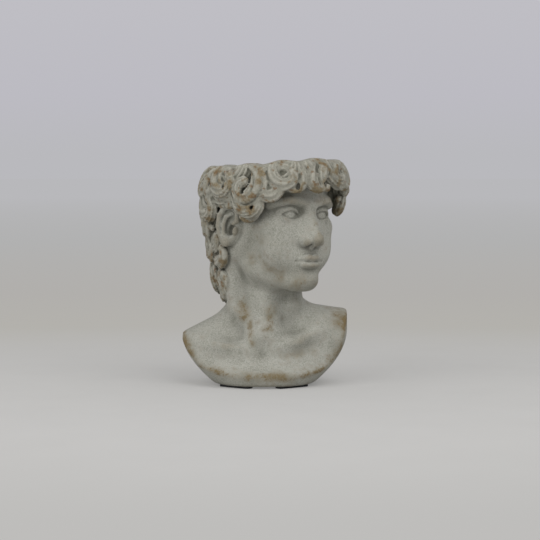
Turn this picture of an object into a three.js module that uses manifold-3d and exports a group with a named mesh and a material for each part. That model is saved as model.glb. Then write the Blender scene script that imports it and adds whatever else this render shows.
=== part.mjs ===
// Statue planter: a cement head and shoulders, cast in one and hollow from the crown down,
// with a stoppered drain through the neck and four thin pads under the base.
// Millimetres, +Z up. The chest looks along -Y and the head is turned towards +X.
// The bust is modelled like clay: strokes are laid on and carved away in order, and a lathed skin
// is pushed out from the middle until it meets the clay.

import * as THREE from 'three';
import { mergeVertices } from 'three/addons/utils/BufferGeometryUtils.js';
import Module from 'manifold-3d';

// Bust
const BUST_WIDTH = 168;            // across the shoulders
const FACE_THIRD_HEIGHT = 41;      // chin to nose base, nose base to brow, brow to hairline
const HEAD_TURN = 38;              // degrees, towards the figure's left shoulder
const HEAD_LEAN = 2;               // degrees, towards the same shoulder
const CHIN_HEIGHT = 96;            // above the underside of the casting
const HEAD_ACROSS = 11;            // chin-level middle of the head from the bust's axis, along X
const HEAD_FORWARD = 8;            // the same towards the front

// Hair
const HAIR_WIDTH = 119;            // across the head, between the middles of the locks
const HAIR_LENGTH = 140;           // the same from back to front
const LOCK_LENGTH = 58;
const LOCK_HALF_WIDTH = 8;
const LOCK_OVERHANG = 8.6;         // past the hair's edge
const LOCK_LEAST_LENGTH = 24;

// Planting pocket
const RIM_HEIGHT = 219;            // at the back of the head
const RIM_FRONT_RISE = 5;
const RIM_DIP = 2.4;               // between the tops of the curls
const RIM_DIPS = 11;               // in a full turn
const RIM_SOFTNESS = 5;
const POCKET_DEPTH = 99;
const POCKET_MOUTH = [43, 51];     // half widths across and along the head
const POCKET_FLOOR = [26, 31];
const POCKET_ROUNDING = 10;
const POCKET_FORWARD = 3;

// Drain and stopper
const DRAIN_BORE = 12;
const DRAIN_ACROSS = 8;
const DRAIN_FORWARD = 5;
const STOPPER_GAP = 0.4;
const STOPPER_STEM_LENGTH = 14;
const STOPPER_TAPER = 1.2;
const STOPPER_FLANGE = 20;
const STOPPER_FLANGE_THICKNESS = 3;
const STOPPER_GRIP = 9;
const STOPPER_GRIP_HEIGHT = 11;

// Base and pads
const BASE_HALF_WIDTH = 50;
const BASE_HALF_DEPTH = 51;
const CUT_FLARE_WIDTH = 33;        // how far the shoulder cut spreads sideways above the base
const CUT_FLARE_DEPTH = 11;
const CUT_HEIGHT = 54;
const CUT_SQUARENESS = 2.4;
const PAD_LENGTH = 36;
const PAD_WIDTH = 10;
const PAD_THICKNESS = 2;
const PAD_CORNER = 3;
const PAD_INSET = 3;
const PAD_BEARING = 38;            // degrees from the front or back

// Skin of the bust
const COLUMNS = 160;
const FACE_CROWDING = 0.3;         // how much closer the columns stand at the face than at the back
const RING_STEPS = [[16, 4], [36, 2.2], [80, 3.5], [Infinity, 2]];   // up to this height, this far apart
const FAN = [[16, 0], [36, 0.6], [100, 0]];   // height on the axis, slope at which the skin is pushed out
const SEARCH_RADIUS = 120;
const SEARCH_STEP = 2;
const EASE_PULLS = [0.5, -0.45, 0.5, -0.45]; // towards the neighbours and back out, twice
const SKIN_TOLERANCE = 0.62;

const HEAD_UNIT = FACE_THIRD_HEIGHT / 38; // the head's strokes are in 38ths of a face third
const BODY_UNIT = BUST_WIDTH / 168;
const BASE_MIDDLE = [3.5 * BODY_UNIT, -2 * BODY_UNIT];
const POCKET_FLOOR_HEIGHT = RIM_HEIGHT - POCKET_DEPTH;

const wasm = await Module();
wasm.setup();

// Clay

const strokes = [];

function addClay(shape, blend = 0) {
  strokes.push({ ...shape, blend, sign: 1 });
}

function carveClay(shape, blend = 0) {
  strokes.push({ ...shape, blend, sign: -1 });
}

function softMin(a, b, blend) {
  if (blend <= 0) return Math.min(a, b);
  const overlap = Math.max(blend - Math.abs(a - b), 0) / blend;
  return Math.min(a, b) - overlap * overlap * blend / 4;
}

// The signed distance from a point to the clay's surface, negative inside.
function clayDistance(point) {
  let value = 1000;
  for (const stroke of strokes) {
    const held = stroke.sign * value;
    if (point.distanceTo(stroke.centre) - stroke.reach > held + stroke.blend) continue;
    value = stroke.sign * softMin(held, stroke.distance(point), stroke.blend);
  }
  return value;
}

function frameAt(origin, rotation, unit) {
  const turn = new THREE.Quaternion().setFromRotationMatrix(rotation);
  return new THREE.Matrix4().compose(origin, turn, new THREE.Vector3(unit, unit, unit));
}

function unitOf(frame) {
  return new THREE.Vector3().setFromMatrixColumn(frame, 0).length();
}

function ellipsoid(frame, middle, radii) {
  const unit = unitOf(frame);
  const inverse = frame.clone().multiply(new THREE.Matrix4().makeTranslation(...middle)).invert();
  const [a, b, c] = radii;
  const local = new THREE.Vector3();
  return {
    centre: new THREE.Vector3(...middle).applyMatrix4(frame),
    reach: Math.max(...radii) * unit,
    distance(point) {
      local.copy(point).applyMatrix4(inverse);
      const outer = Math.hypot(local.x / a, local.y / b, local.z / c);
      const slope = Math.hypot(local.x / (a * a), local.y / (b * b), local.z / (c * c));
      return outer * (outer - 1) / Math.max(slope, 1e-6) * unit;
    },
  };
}

// A chain of tapered round segments through the knots.
function tube(frame, knots, radii) {
  const unit = unitOf(frame);
  const points = knots.map((knot) => new THREE.Vector3(...knot).applyMatrix4(frame));
  const box = new THREE.Box3().setFromPoints(points);
  const centre = box.getCenter(new THREE.Vector3());
  const widest = Math.max(...radii) * unit;
  const run = new THREE.Vector3();
  const offset = new THREE.Vector3();
  return {
    centre,
    reach: Math.max(...points.map((point) => point.distanceTo(centre))) + widest,
    distance(point) {
      let best = Infinity;
      for (let i = 0; i + 1 < points.length; i++) {
        run.subVectors(points[i + 1], points[i]);
        offset.subVectors(point, points[i]);
        const share = THREE.MathUtils.clamp(offset.dot(run) / Math.max(run.lengthSq(), 1e-6), 0, 1);
        const radius = THREE.MathUtils.lerp(radii[i], radii[i + 1], share) * unit;
        best = Math.min(best, offset.addScaledVector(run, -share).length() - radius);
      }
      return best;
    },
  };
}

// Body frame: millimetres from the bust's axis at the underside.
const BODY = frameAt(new THREE.Vector3(), new THREE.Matrix4(), BODY_UNIT);

// Head frame: x to the figure's left, y up from the chin, z forward, as a face looks out of its own picture.
function headFrame() {
  const upright = new THREE.Matrix4().makeRotationX(Math.PI / 2);
  const lean = new THREE.Matrix4().makeRotationY(THREE.MathUtils.degToRad(HEAD_LEAN));
  const turn = new THREE.Matrix4().makeRotationZ(THREE.MathUtils.degToRad(HEAD_TURN));
  const chin = new THREE.Vector3(HEAD_ACROSS, -HEAD_FORWARD, CHIN_HEIGHT);
  return frameAt(chin, turn.multiply(lean).multiply(upright), HEAD_UNIT);
}

const HEAD = headFrame();
const SIDES = [-1, 1];             // the figure's right, then its left

function onSide(side, knots) {
  return knots.map(([x, y, z]) => [x * side, y, z]);
}

// Torso and neck

function layTorso() {
  addClay(ellipsoid(BODY, [2, 0, -16], [94, 64, 58]));
  addClay(tube(BODY, [[-16, 6, 50], [-86, 2, 17]], [28, 25]), 16);
  addClay(tube(BODY, [[16, 6, 51], [90, 4, 43]], [31, 29]), 16);
  addClay(ellipsoid(BODY, [4, 14, 24], [86, 50, 34]), 14);
  addClay(tube(BODY, [[3, 3, 38], [5, 0, 110]], [35, 31]), 22);
}

function layThroat() {
  for (const side of SIDES) {
    const rise = side > 0 ? 6 : 0;
    const behindEar = new THREE.Vector3(36 * side, 32, -14).applyMatrix4(HEAD).divideScalar(BODY_UNIT);
    const cord = [behindEar.toArray(), [3 + 27 * side, -18, 78],
      [2 + 14 * side, -31, 52], [2 + 6 * side, -36, 38]];
    addClay(tube(BODY, cord, [9, 9, 7.5, 5]), 9);
    const collar = [[2 + 10 * side, -38, 35 + rise / 6], [2 + 36 * side, -34, 38 + rise],
      [2 + 64 * side, -14, 42 + 3 * rise]];
    addClay(tube(BODY, collar, [3.8, 3.8, 5]), 12);
    carveClay(ellipsoid(BODY, [2 + 34 * side, -33, 56 + 1.4 * rise], [14, 5, 6]), 16);
  }
  addClay(tube(BODY, [[6, -28, 82], [3, -36, 47]], [10, 9]), 12);
  carveClay(ellipsoid(BODY, [2, -52, 37], [7, 8, 9]), 12);
}

// Half width and half depth of the shoulder cut at a height above the underside.
function cutHalves(height) {
  const left = 1 - THREE.MathUtils.clamp(height / CUT_HEIGHT, 0, 1);
  const flare = 1 - left * left;
  return [BASE_HALF_WIDTH + CUT_FLARE_WIDTH * flare, BASE_HALF_DEPTH + CUT_FLARE_DEPTH * flare];
}

// The bust ends in a bowl: arms and chest are cut off along a rounded square that widens upwards.
function cutBowl() {
  const top = CHIN_HEIGHT;
  carveClay({
    centre: new THREE.Vector3(0, 0, 0),
    reach: top + SEARCH_RADIUS,
    distance(point) {
      if (point.z > top) return SEARCH_RADIUS;
      const [a, b] = cutHalves(point.z);
      const x = Math.abs((point.x - BASE_MIDDLE[0]) / a) ** CUT_SQUARENESS;
      const y = Math.abs((point.y - BASE_MIDDLE[1]) / b) ** CUT_SQUARENESS;
      return (1 - (x + y) ** (1 / CUT_SQUARENESS)) * Math.min(a, b) * 0.85;
    },
  }, 3);
}

// Face and ears

function laySkull() {
  addClay(ellipsoid(HEAD, [0, 88, 0], [44, 46, 56]), 4);
  addClay(ellipsoid(HEAD, [0, 47, 16], [35, 48, 38]), 14);
  for (const side of SIDES) {
    addClay(tube(HEAD, onSide(side, [[29, 32, -2], [27, 17, 10], [9, 8, 41]]), [8, 8, 9.5]), 12);
    addClay(ellipsoid(HEAD, [30 * side, 42, -12], [11, 22, 14]), 10);
    addClay(ellipsoid(HEAD, [28 * side, 56, 32], [11, 9, 13]), 14);
    addClay(ellipsoid(HEAD, [20 * side, 36, 37], [15, 18, 13]), 12);
  }
  addClay(ellipsoid(HEAD, [0, 9, 45], [12.5, 9.5, 11.5]), 8);
  addClay(ellipsoid(HEAD, [0, 27, 43], [20, 14, 14]), 9);
}

function layBrowsAndEyes() {
  for (const side of SIDES) {
    addClay(tube(HEAD, onSide(side, [[6, 77, 53], [20, 80.5, 51.5], [35, 76.5, 37]]), [4.5, 4.2, 3.8]), 5);
  }
  for (const side of SIDES) {
    carveClay(ellipsoid(HEAD, [18.5 * side, 68, 57], [14, 8.8, 14]), 4);
    addClay(ellipsoid(HEAD, [17.6 * side, 67, 41.5], [9.6, 5.4, 9]), 1);
  }
}

function layNose() {
  addClay(tube(HEAD, [[0, 76, 51.5], [0, 64, 55.5], [0, 53.5, 60.5], [0, 47, 64.5]], [4.6, 4, 4.3, 4.6]), 5);
  for (const side of SIDES) {
    addClay(tube(HEAD, onSide(side, [[4.5, 62, 50.5], [7, 47, 54]]), [4.5, 5.2]), 7);
    addClay(ellipsoid(HEAD, [7.6 * side, 43.4, 57.8], [3.9, 4.2, 6.2]), 3);
  }
  addClay(ellipsoid(HEAD, [0, 45.5, 65], [5.4, 4.6, 5.2]), 4);
}

function layMouth() {
  const upperLip = [[-15, 25.8, 50.8], [-3.6, 28.8, 58], [3.6, 28.8, 58], [15, 25.8, 50.8]];
  addClay(tube(HEAD, upperLip, [1, 3, 3, 1]), 1.6);
  addClay(tube(HEAD, [[-12.5, 24.4, 51.6], [0, 21.5, 57.6], [12.5, 24.4, 51.6]], [1.2, 3.7, 1.2]), 1.6);
  carveClay(tube(HEAD, [[-16, 25.6, 52.6], [0, 25, 61.6], [16, 25.6, 52.6]], [1.4, 1.9, 1.4]), 1);
  carveClay(tube(HEAD, [[-7, 15.4, 60], [7, 15.4, 60]], [3.4, 3.4]), 6);
}

function layEars() {
  for (const side of SIDES) {
    const lean = new THREE.Matrix4().makeRotationY(THREE.MathUtils.degToRad(-22 * side));
    const tilt = new THREE.Matrix4().makeRotationX(THREE.MathUtils.degToRad(-12));
    const ear = HEAD.clone().multiply(new THREE.Matrix4().makeTranslation(47 * side, 58, -4))
      .multiply(lean).multiply(tilt);
    addClay(ellipsoid(HEAD, [38 * side, 58, -6], [8, 26, 18]), 16);
    addClay(ellipsoid(ear, [-1 * side, 0, -1], [6, 18.5, 11]), 4);
    carveClay(ellipsoid(ear, [5.4 * side, 0, 0.5], [5.6, 13.5, 8]), 2);
    addClay(tube(ear, onSide(side, [[3.6, 7, 8.4], [4.4, 18.4, 0.5], [5.2, 7, -10.8], [4, -11, -6.5]]),
      [2.8, 3.4, 3.4, 3]), 1);
  }
}

// Hair, in head units

const HAIR_HALVES = [HAIR_WIDTH / 2 / HEAD_UNIT, HAIR_LENGTH / 2 / HEAD_UNIT];
const HAIR_RADIUS = (HAIR_HALVES[0] + HAIR_HALVES[1]) / 2;
const HAIR_PROFILE = [             // height, share of those halves, how far forward the middle lies
  [-24, 0.50, -10], [-8, 0.57, -9], [8, 0.67, -8], [24, 0.77, -6], [40, 0.84, -3],
  [60, 0.95, -1], [84, 0.99, 0], [104, 0.955, 2.5], [130, 0.92, 3],
];
const HAIR_EDGE = [                // degrees from the face, lowest height of the hair there
  [0, 105], [40, 103], [52, 93], [59, 78], [66, 70], [76, 70], [86, 79], [107, 81], [109, 48], [112, 24],
  [120, 8], [140, 0], [180, -4],
];
const RIM_ON_HEAD = (RIM_HEIGHT - CHIN_HEIGHT) / HEAD_UNIT;
const OUTER_ROWS = [               // height of the roots, locks in a full turn
  [12, 12], [32, 13], [53, 14], [74, 15], [95, 16], [RIM_ON_HEAD - 1, 19],
];
const UNDER_ROWS = [[22, 11], [43, 12], [64, 13], [85, 14], [105, 15], [RIM_ON_HEAD + 9, 17]];
const UNDER_ROW_DEPTH = 4;
const SIDE_CURLS = [               // degrees from the face, height, heading forward, hand, length, half width
  [44, 117, -25, 1, 46, 7.4], [55, 106, -20, 1, 44, 7.2],
  [134, 54, 75, -1, 36, 7.6], [114, 28, 60, 1, 36, 7.2], [119, 14, 70, -1, 34, 7], [128, 3, 60, 1, 30, 6.6],
];
const SIDE_CURL_RISE = 1;
const NAPE_TOP = 50;               // below it, the rows leave the sides of the nape to those curls
const NAPE_BACK = 140;
const LOCK_DROP = 0.55;            // how much of its length a lock hangs down
const LOCK_STEPS = 14;
const CAP_BELOW_LOCKS = 2;
const CAP_BELOW_EDGE = 7;
const CAP_ROUNDING = 10;

function between(rows, at, column) {
  const next = rows.findIndex((row) => row[0] >= at);
  if (next === 0) return rows[0][column];
  if (next < 0) return rows[rows.length - 1][column];
  const [low, high] = [rows[next - 1], rows[next]];
  return THREE.MathUtils.mapLinear(at, low[0], high[0], low[column], high[column]);
}

// A point on the hair's surface and the way out of it. Direction 0 is forward, positive to the figure's left.
function hairSkin(direction, height) {
  const ring = between(HAIR_PROFILE, height, 1);
  const middle = between(HAIR_PROFILE, height, 2);
  const [a, b] = HAIR_HALVES;
  const slope = (between(HAIR_PROFILE, height + 4, 1) - between(HAIR_PROFILE, height - 4, 1)) / 8;
  const out = new THREE.Vector3(Math.sin(direction) / a, -slope, Math.cos(direction) / b).normalize();
  const forward = middle + b * ring * Math.cos(direction);
  return { point: new THREE.Vector3(a * ring * Math.sin(direction), height, forward), out };
}

function layHairCap() {
  const inverse = HEAD.clone().invert();
  const local = new THREE.Vector3();
  addClay({
    centre: new THREE.Vector3(0, 56, 0).applyMatrix4(HEAD),
    reach: 110 * HEAD_UNIT,
    distance(point) {
      local.copy(point).applyMatrix4(inverse);
      const forward = local.z - between(HAIR_PROFILE, local.y, 2);
      const round = Math.hypot(local.x / HAIR_HALVES[0], forward / HAIR_HALVES[1]);
      const away = Math.abs(THREE.MathUtils.radToDeg(Math.atan2(local.x, forward)));
      const depth = (between(HAIR_PROFILE, local.y, 1) - round) * HAIR_RADIUS - CAP_BELOW_LOCKS;
      const aboveEdge = local.y - between(HAIR_EDGE, away, 1) + CAP_BELOW_EDGE;
      return -softMin(depth, aboveEdge * 0.7, CAP_ROUNDING) * HEAD_UNIT;
    },
  }, 3);
}

// A fixed scatter between -1 and 1.
function scatter(seed) {
  const wave = Math.sin(seed * 12.9898) * 43758.5453;
  return 2 * (wave - Math.floor(wave)) - 1;
}

// One lock: it runs down the hair's surface and rolls up into a curl. Heading 0 is straight down.
function layLock({ direction, height, heading, hand, length, half, depth }) {
  const knots = [];
  const radii = [];
  const step = length / LOCK_STEPS;
  let angle = heading;
  let across = 0;
  let drop = 0;
  for (let i = 0; i < LOCK_STEPS; i++) {
    const along = i / LOCK_STEPS;
    angle += hand * step * (0.035 + 0.15 * along ** 1.6);
    across += step * Math.sin(angle);
    drop += step * Math.cos(angle);
    const girth = HAIR_RADIUS * between(HAIR_PROFILE, height - drop, 1);
    const { point, out } = hairSkin(direction + across / girth, height - drop);
    const rise = 0.1 + 0.75 * Math.sin(Math.PI / 2 * Math.min(along / 0.7, 1));
    knots.push(point.addScaledVector(out, half * rise - depth).toArray());
    const taper = 1 - 0.45 * THREE.MathUtils.clamp((along - 0.45) / 0.55, 0, 1);
    radii.push(half * Math.min(0.6 + 1.3 * along, 1) * taper);
  }
  addClay(tube(HEAD, knots, radii), 2.5);
}

// A row of locks round the head, left out where the face and the ears leave too little room.
function layLockRow(row, [height, count], depth) {
  for (let i = 0; i < count; i++) {
    const turn = 360 * (i + 0.5 * (row % 2)) / count;
    const fromFace = Math.min(turn, 360 - turn);
    const room = (height - between(HAIR_EDGE, fromFace, 1) + LOCK_OVERHANG / HEAD_UNIT) / LOCK_DROP;
    const behindEar = height < NAPE_TOP && fromFace < NAPE_BACK;
    if (behindEar || room < LOCK_LEAST_LENGTH / HEAD_UNIT) continue;
    const jitter = [1, 2, 3, 4, 5].map((n) => scatter(100 * row + 6 * i + n));
    const hand = (row + i) % 2 ? 1 : -1;
    const fullLength = LOCK_LENGTH / HEAD_UNIT;
    const size = Math.sqrt(Math.min(room / fullLength, 1));
    layLock({
      direction: THREE.MathUtils.degToRad(turn) + 0.06 * jitter[0],
      height: height + 3 * jitter[1],
      heading: -hand * THREE.MathUtils.degToRad(50) + 0.45 * jitter[2],
      hand,
      length: Math.min(room, fullLength * (1 + 0.14 * jitter[3])),
      half: LOCK_HALF_WIDTH / HEAD_UNIT * size * (1 + 0.12 * jitter[4]),
      depth,
    });
  }
}

// Curls at the temples, and curls that run forward below each ear.
function laySideCurls() {
  for (const side of SIDES) {
    for (const [degrees, height, heading, hand, length, half] of SIDE_CURLS) {
      layLock({
        direction: side * THREE.MathUtils.degToRad(degrees),
        height,
        heading: -side * THREE.MathUtils.degToRad(heading),
        hand: -side * hand,
        length,
        half,
        depth: -SIDE_CURL_RISE,
      });
    }
  }
}

function layHair() {
  layHairCap();
  UNDER_ROWS.forEach((spread, row) => layLockRow(row + OUTER_ROWS.length, spread, UNDER_ROW_DEPTH));
  OUTER_ROWS.forEach((spread, row) => layLockRow(row, spread, 0));
  laySideCurls();
}

// Solids

function closedSurface(geometry) {
  geometry.deleteAttribute('normal');
  geometry.deleteAttribute('uv');
  const merged = mergeVertices(geometry, 1e-4);
  const faces = [];
  for (let i = 0; i < merged.index.count; i += 3) {
    const [a, b, c] = [merged.index.getX(i), merged.index.getX(i + 1), merged.index.getX(i + 2)];
    if (a !== b && b !== c && c !== a) faces.push(a, b, c);
  }
  merged.setIndex(faces);
  return merged;
}

function toSolid(geometry) {
  const surface = closedSurface(geometry);
  const vertProperties = Float32Array.from(surface.attributes.position.array);
  const triVerts = Uint32Array.from(surface.index.array);
  return new wasm.Manifold(new wasm.Mesh({ numProp: 3, vertProperties, triVerts }));
}

function toGeometry(solid) {
  const mesh = solid.getMesh();
  const geometry = new THREE.BufferGeometry();
  geometry.setAttribute('position', new THREE.BufferAttribute(mesh.vertProperties, 3));
  geometry.setIndex(new THREE.BufferAttribute(mesh.triVerts, 1));
  return geometry;
}

// A profile of [radius, height] turned about +Z.
function turned(profile, segments) {
  const points = profile.map(([radius, height]) => new THREE.Vector2(radius, height));
  return new THREE.LatheGeometry(points, segments).rotateX(Math.PI / 2);
}

function ringHeights() {
  const heights = [0];
  let height = 0;
  while (height < RIM_HEIGHT) {
    const [, step] = RING_STEPS.find(([limit]) => height < limit);
    height = Math.min(height + step, RIM_HEIGHT);
    heights.push(height);
  }
  return heights;
}

// How far the clay reaches from a height on the axis, in one direction and at one slope.
function clayRadius(bearing, height, slope) {
  const point = new THREE.Vector3();
  const distanceAt = (radius) => {
    point.set(radius * Math.sin(bearing), -radius * Math.cos(bearing), height + slope * radius);
    return clayDistance(point);
  };
  let outside = SEARCH_RADIUS;
  while (outside > SEARCH_STEP && distanceAt(outside - SEARCH_STEP) > 0) outside -= SEARCH_STEP;
  let inside = outside - SEARCH_STEP;
  for (let i = 0; i < 10; i++) {
    const middle = (inside + outside) / 2;
    if (distanceAt(middle) > 0) outside = middle;
    else inside = middle;
  }
  return Math.max(inside, 1);
}

// The rim rises towards the face and dips between the curls.
function rimRise(fromFace) {
  const dip = RIM_DIP * (0.5 - 0.5 * Math.cos(RIM_DIPS * fromFace));
  return RIM_FRONT_RISE * Math.exp(-((fromFace / 0.9) ** 2)) - dip;
}

function pushSkinToClay(skin) {
  const position = skin.attributes.position;
  const face = THREE.MathUtils.degToRad(HEAD_TURN);
  const upperHair = RIM_HEIGHT - 5 * RIM_SOFTNESS;
  for (let i = 0; i < position.count; i++) {
    if (Math.hypot(position.getX(i), position.getY(i)) < 0.5) continue;
    const column = Math.atan2(position.getX(i), -position.getY(i));
    const fromFace = column - FACE_CROWDING * Math.sin(column);
    const stretch = THREE.MathUtils.clamp((position.getZ(i) - upperHair) / (RIM_HEIGHT - upperHair), 0, 1);
    const height = position.getZ(i) + stretch * rimRise(fromFace);
    const belowRim = RIM_HEIGHT + rimRise(fromFace) - height;
    const rounding = RIM_SOFTNESS - Math.min(belowRim, RIM_SOFTNESS);
    const inset = RIM_SOFTNESS - Math.sqrt(Math.max(RIM_SOFTNESS ** 2 - rounding ** 2, 0));
    const bearing = face + fromFace;
    const slope = between(FAN, height, 1);
    const radius = Math.max(clayRadius(bearing, height, slope) - inset, 1);
    position.setXYZ(i, radius * Math.sin(bearing), -radius * Math.cos(bearing), height + slope * radius);
  }
}

// Each four-sided patch of the skin is folded along its shorter diagonal, so that slanting edges stay straight.
function foldPatches(skin) {
  const { position } = skin.attributes;
  const faces = Array.from(skin.index.array);
  const corner = (i) => new THREE.Vector3().fromBufferAttribute(position, i);
  for (let i = 0; i + 5 < faces.length; i += 3) {
    const [a, b, d, c, e, f] = faces.slice(i, i + 6);
    if (e !== d || f !== b) continue;
    if (corner(a).distanceTo(corner(c)) < corner(b).distanceTo(corner(d))) faces.splice(i, 6, a, b, c, a, c, d);
    i += 3;
  }
  skin.setIndex(faces);
}

// Each point of the skin is eased towards its neighbours and back out, so that undercut curls leave no
// ragged steps. The underside and the rim stay as they are.
function easeSkin(skin) {
  const { position } = skin.attributes;
  const { index } = skin;
  const point = new THREE.Vector3();
  for (const pull of EASE_PULLS) {
    const sums = Array.from({ length: position.count }, () => new THREE.Vector3());
    const counts = new Array(position.count).fill(0);
    for (let i = 0; i < index.count; i++) {
      const [from, to] = [index.getX(i), index.getX(i % 3 === 2 ? i - 2 : i + 1)];
      sums[from].add(point.fromBufferAttribute(position, to));
      counts[from] += 1;
    }
    for (let i = 0; i < position.count; i++) {
      point.fromBufferAttribute(position, i);
      if (point.z < RIM_SOFTNESS || point.z > RIM_HEIGHT - RIM_DIP - RIM_SOFTNESS / 2) continue;
      point.lerp(sums[i].divideScalar(counts[i]), pull);
      position.setXYZ(i, point.x, point.y, point.z);
    }
  }
}

function pocketSolid() {
  const [floorHalf, mouthHalf] = [POCKET_FLOOR[0], POCKET_MOUTH[0]];
  const aboveRim = RIM_HEIGHT + 4 * RIM_FRONT_RISE;
  const profile = [[0, POCKET_FLOOR_HEIGHT]];
  for (let i = 0; i <= 4; i++) {
    const angle = Math.PI / 2 * i / 4;
    profile.push([floorHalf - POCKET_ROUNDING * (1 - Math.sin(angle)),
      POCKET_FLOOR_HEIGHT + POCKET_ROUNDING * (1 - Math.cos(angle))]);
  }
  profile.push([mouthHalf, RIM_HEIGHT], [mouthHalf, aboveRim], [0, aboveRim]);
  const geometry = turned(profile, 40);
  const position = geometry.attributes.position;
  for (let i = 0; i < position.count; i++) {
    const rise = THREE.MathUtils.clamp((position.getZ(i) - POCKET_FLOOR_HEIGHT) / POCKET_DEPTH, 0, 1);
    const longer = THREE.MathUtils.lerp(POCKET_FLOOR[1] / floorHalf, POCKET_MOUTH[1] / mouthHalf, rise);
    position.setY(i, position.getY(i) * longer);
  }
  const turn = THREE.MathUtils.degToRad(HEAD_TURN);
  const across = HEAD_ACROSS + POCKET_FORWARD * Math.sin(turn);
  const forward = HEAD_FORWARD + POCKET_FORWARD * Math.cos(turn);
  return toSolid(geometry.rotateZ(turn).translate(across, -forward, 0));
}

function drainSolid() {
  const radius = DRAIN_BORE / 2;
  const top = POCKET_FLOOR_HEIGHT + POCKET_ROUNDING;
  const profile = [[0, -DRAIN_BORE], [radius, -DRAIN_BORE], [radius, top], [0, top]];
  return toSolid(turned(profile, 32).translate(DRAIN_ACROSS, -DRAIN_FORWARD, 0));
}

function castBust() {
  layTorso();
  layThroat();
  cutBowl();
  laySkull();
  layBrowsAndEyes();
  layNose();
  layMouth();
  layEars();
  layHair();
  const heights = ringHeights();
  const profile = [[0, 0], ...heights.map((height) => [1, height]), [0, RIM_HEIGHT]];
  const skin = closedSurface(turned(profile, COLUMNS));
  pushSkinToClay(skin);
  foldPatches(skin);
  easeSkin(skin);
  return toGeometry(toSolid(skin).simplify(SKIN_TOLERANCE).subtract(pocketSolid()).subtract(drainSolid()));
}

// The stopper: a tapered stem in the drain, a flange on the pocket's floor and a waisted grip to pull.
function drainStopper() {
  const stem = DRAIN_BORE / 2 - STOPPER_GAP;
  const flange = STOPPER_FLANGE / 2;
  const grip = STOPPER_GRIP / 2;
  const flangeTop = STOPPER_GAP + STOPPER_FLANGE_THICKNESS;
  const top = flangeTop + STOPPER_GRIP_HEIGHT;
  const profile = [
    [0, -STOPPER_STEM_LENGTH], [stem - STOPPER_TAPER, -STOPPER_STEM_LENGTH], [stem, STOPPER_GAP],
    [flange, STOPPER_GAP], [flange, flangeTop - STOPPER_FLANGE_THICKNESS / 3],
    [flange - STOPPER_FLANGE_THICKNESS / 2, flangeTop],
    [grip * 0.75, flangeTop + STOPPER_GRIP_HEIGHT * 0.1], [grip * 0.65, flangeTop + STOPPER_GRIP_HEIGHT * 0.45],
    [grip, flangeTop + STOPPER_GRIP_HEIGHT * 0.7], [grip * 0.9, top - STOPPER_GRIP_HEIGHT * 0.1],
    [grip * 0.5, top], [0, top],
  ];
  return closedSurface(turned(profile, 32).translate(DRAIN_ACROSS, -DRAIN_FORWARD, POCKET_FLOOR_HEIGHT));
}

function padOutline() {
  const [x, y] = [PAD_LENGTH / 2, PAD_WIDTH / 2];
  const quarter = Math.PI / 2;
  const outline = new THREE.Shape();
  outline.absarc(x - PAD_CORNER, y - PAD_CORNER, PAD_CORNER, 0, quarter);
  outline.absarc(PAD_CORNER - x, y - PAD_CORNER, PAD_CORNER, quarter, 2 * quarter);
  outline.absarc(PAD_CORNER - x, PAD_CORNER - y, PAD_CORNER, 2 * quarter, 3 * quarter);
  outline.absarc(x - PAD_CORNER, PAD_CORNER - y, PAD_CORNER, 3 * quarter, 4 * quarter);
  return outline;
}

// A pad lies along the base's edge, at a bearing from the front (end -1) or the back (end 1).
function footPad(side, end) {
  const bearing = THREE.MathUtils.degToRad(PAD_BEARING);
  const rim = (angle) => {
    const x = Math.sin(angle) ** (2 / CUT_SQUARENESS) * BASE_HALF_WIDTH;
    const y = Math.cos(angle) ** (2 / CUT_SQUARENESS) * BASE_HALF_DEPTH;
    return new THREE.Vector2(BASE_MIDDLE[0] + side * x, BASE_MIDDLE[1] + end * y);
  };
  const along = rim(bearing + 0.1).sub(rim(bearing - 0.1)).normalize();
  const inward = new THREE.Vector2(-side * Math.abs(along.y), -end * Math.abs(along.x));
  const middle = rim(bearing).addScaledVector(inward, PAD_INSET + PAD_WIDTH / 2 + PAD_LENGTH / 20);
  const geometry = new THREE.ExtrudeGeometry(padOutline(),
    { depth: PAD_THICKNESS, bevelEnabled: false, curveSegments: 5 });
  return closedSurface(geometry.rotateZ(along.angle()).translate(middle.x, middle.y, -PAD_THICKNESS));
}

// Assembly

const cement = new THREE.MeshStandardMaterial({ color: 0x96958a, roughness: 0.92, metalness: 0 });
const rubber = new THREE.MeshStandardMaterial({ color: 0x2a2a2a, roughness: 0.8, metalness: 0 });
const foam = new THREE.MeshStandardMaterial({ color: 0x17181a, roughness: 0.95, metalness: 0 });

const planter = new THREE.Group();

function addPiece(name, geometry, material) {
  const mesh = new THREE.Mesh(geometry, material);
  mesh.name = name;
  planter.add(mesh);
}

addPiece('cast_bust', castBust(), cement);
addPiece('drain_plug', drainStopper(), rubber);
for (const [end, endName] of [[-1, 'front'], [1, 'rear']]) {
  for (const [side, sideName] of [[-1, 'left'], [1, 'right']]) {
    addPiece(`foot_pad_${endName}_${sideName}`, footPad(side, end), foam);
  }
}

// The origin is on the ground, under the middle of the whole planter.
const box = new THREE.Box3().setFromObject(planter);
planter.position.set(-(box.min.x + box.max.x) / 2, -(box.min.y + box.max.y) / 2, -box.min.z);
planter.updateMatrixWorld(true);

export default planter;
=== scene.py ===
"""The statue planter's looks: a washed cement bust modelled like clay, its drain stopper and its foot pads.

The bust is a grid of signed distances. Strokes of clay are laid on and carved away in order, the grid is
meshed once, and what the grid knows of ridges, recesses, hair, rubbed places and raw casting goes to the
cement's paint as attributes.
"""

from math import atan2, cos, pi, radians, sin

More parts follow.
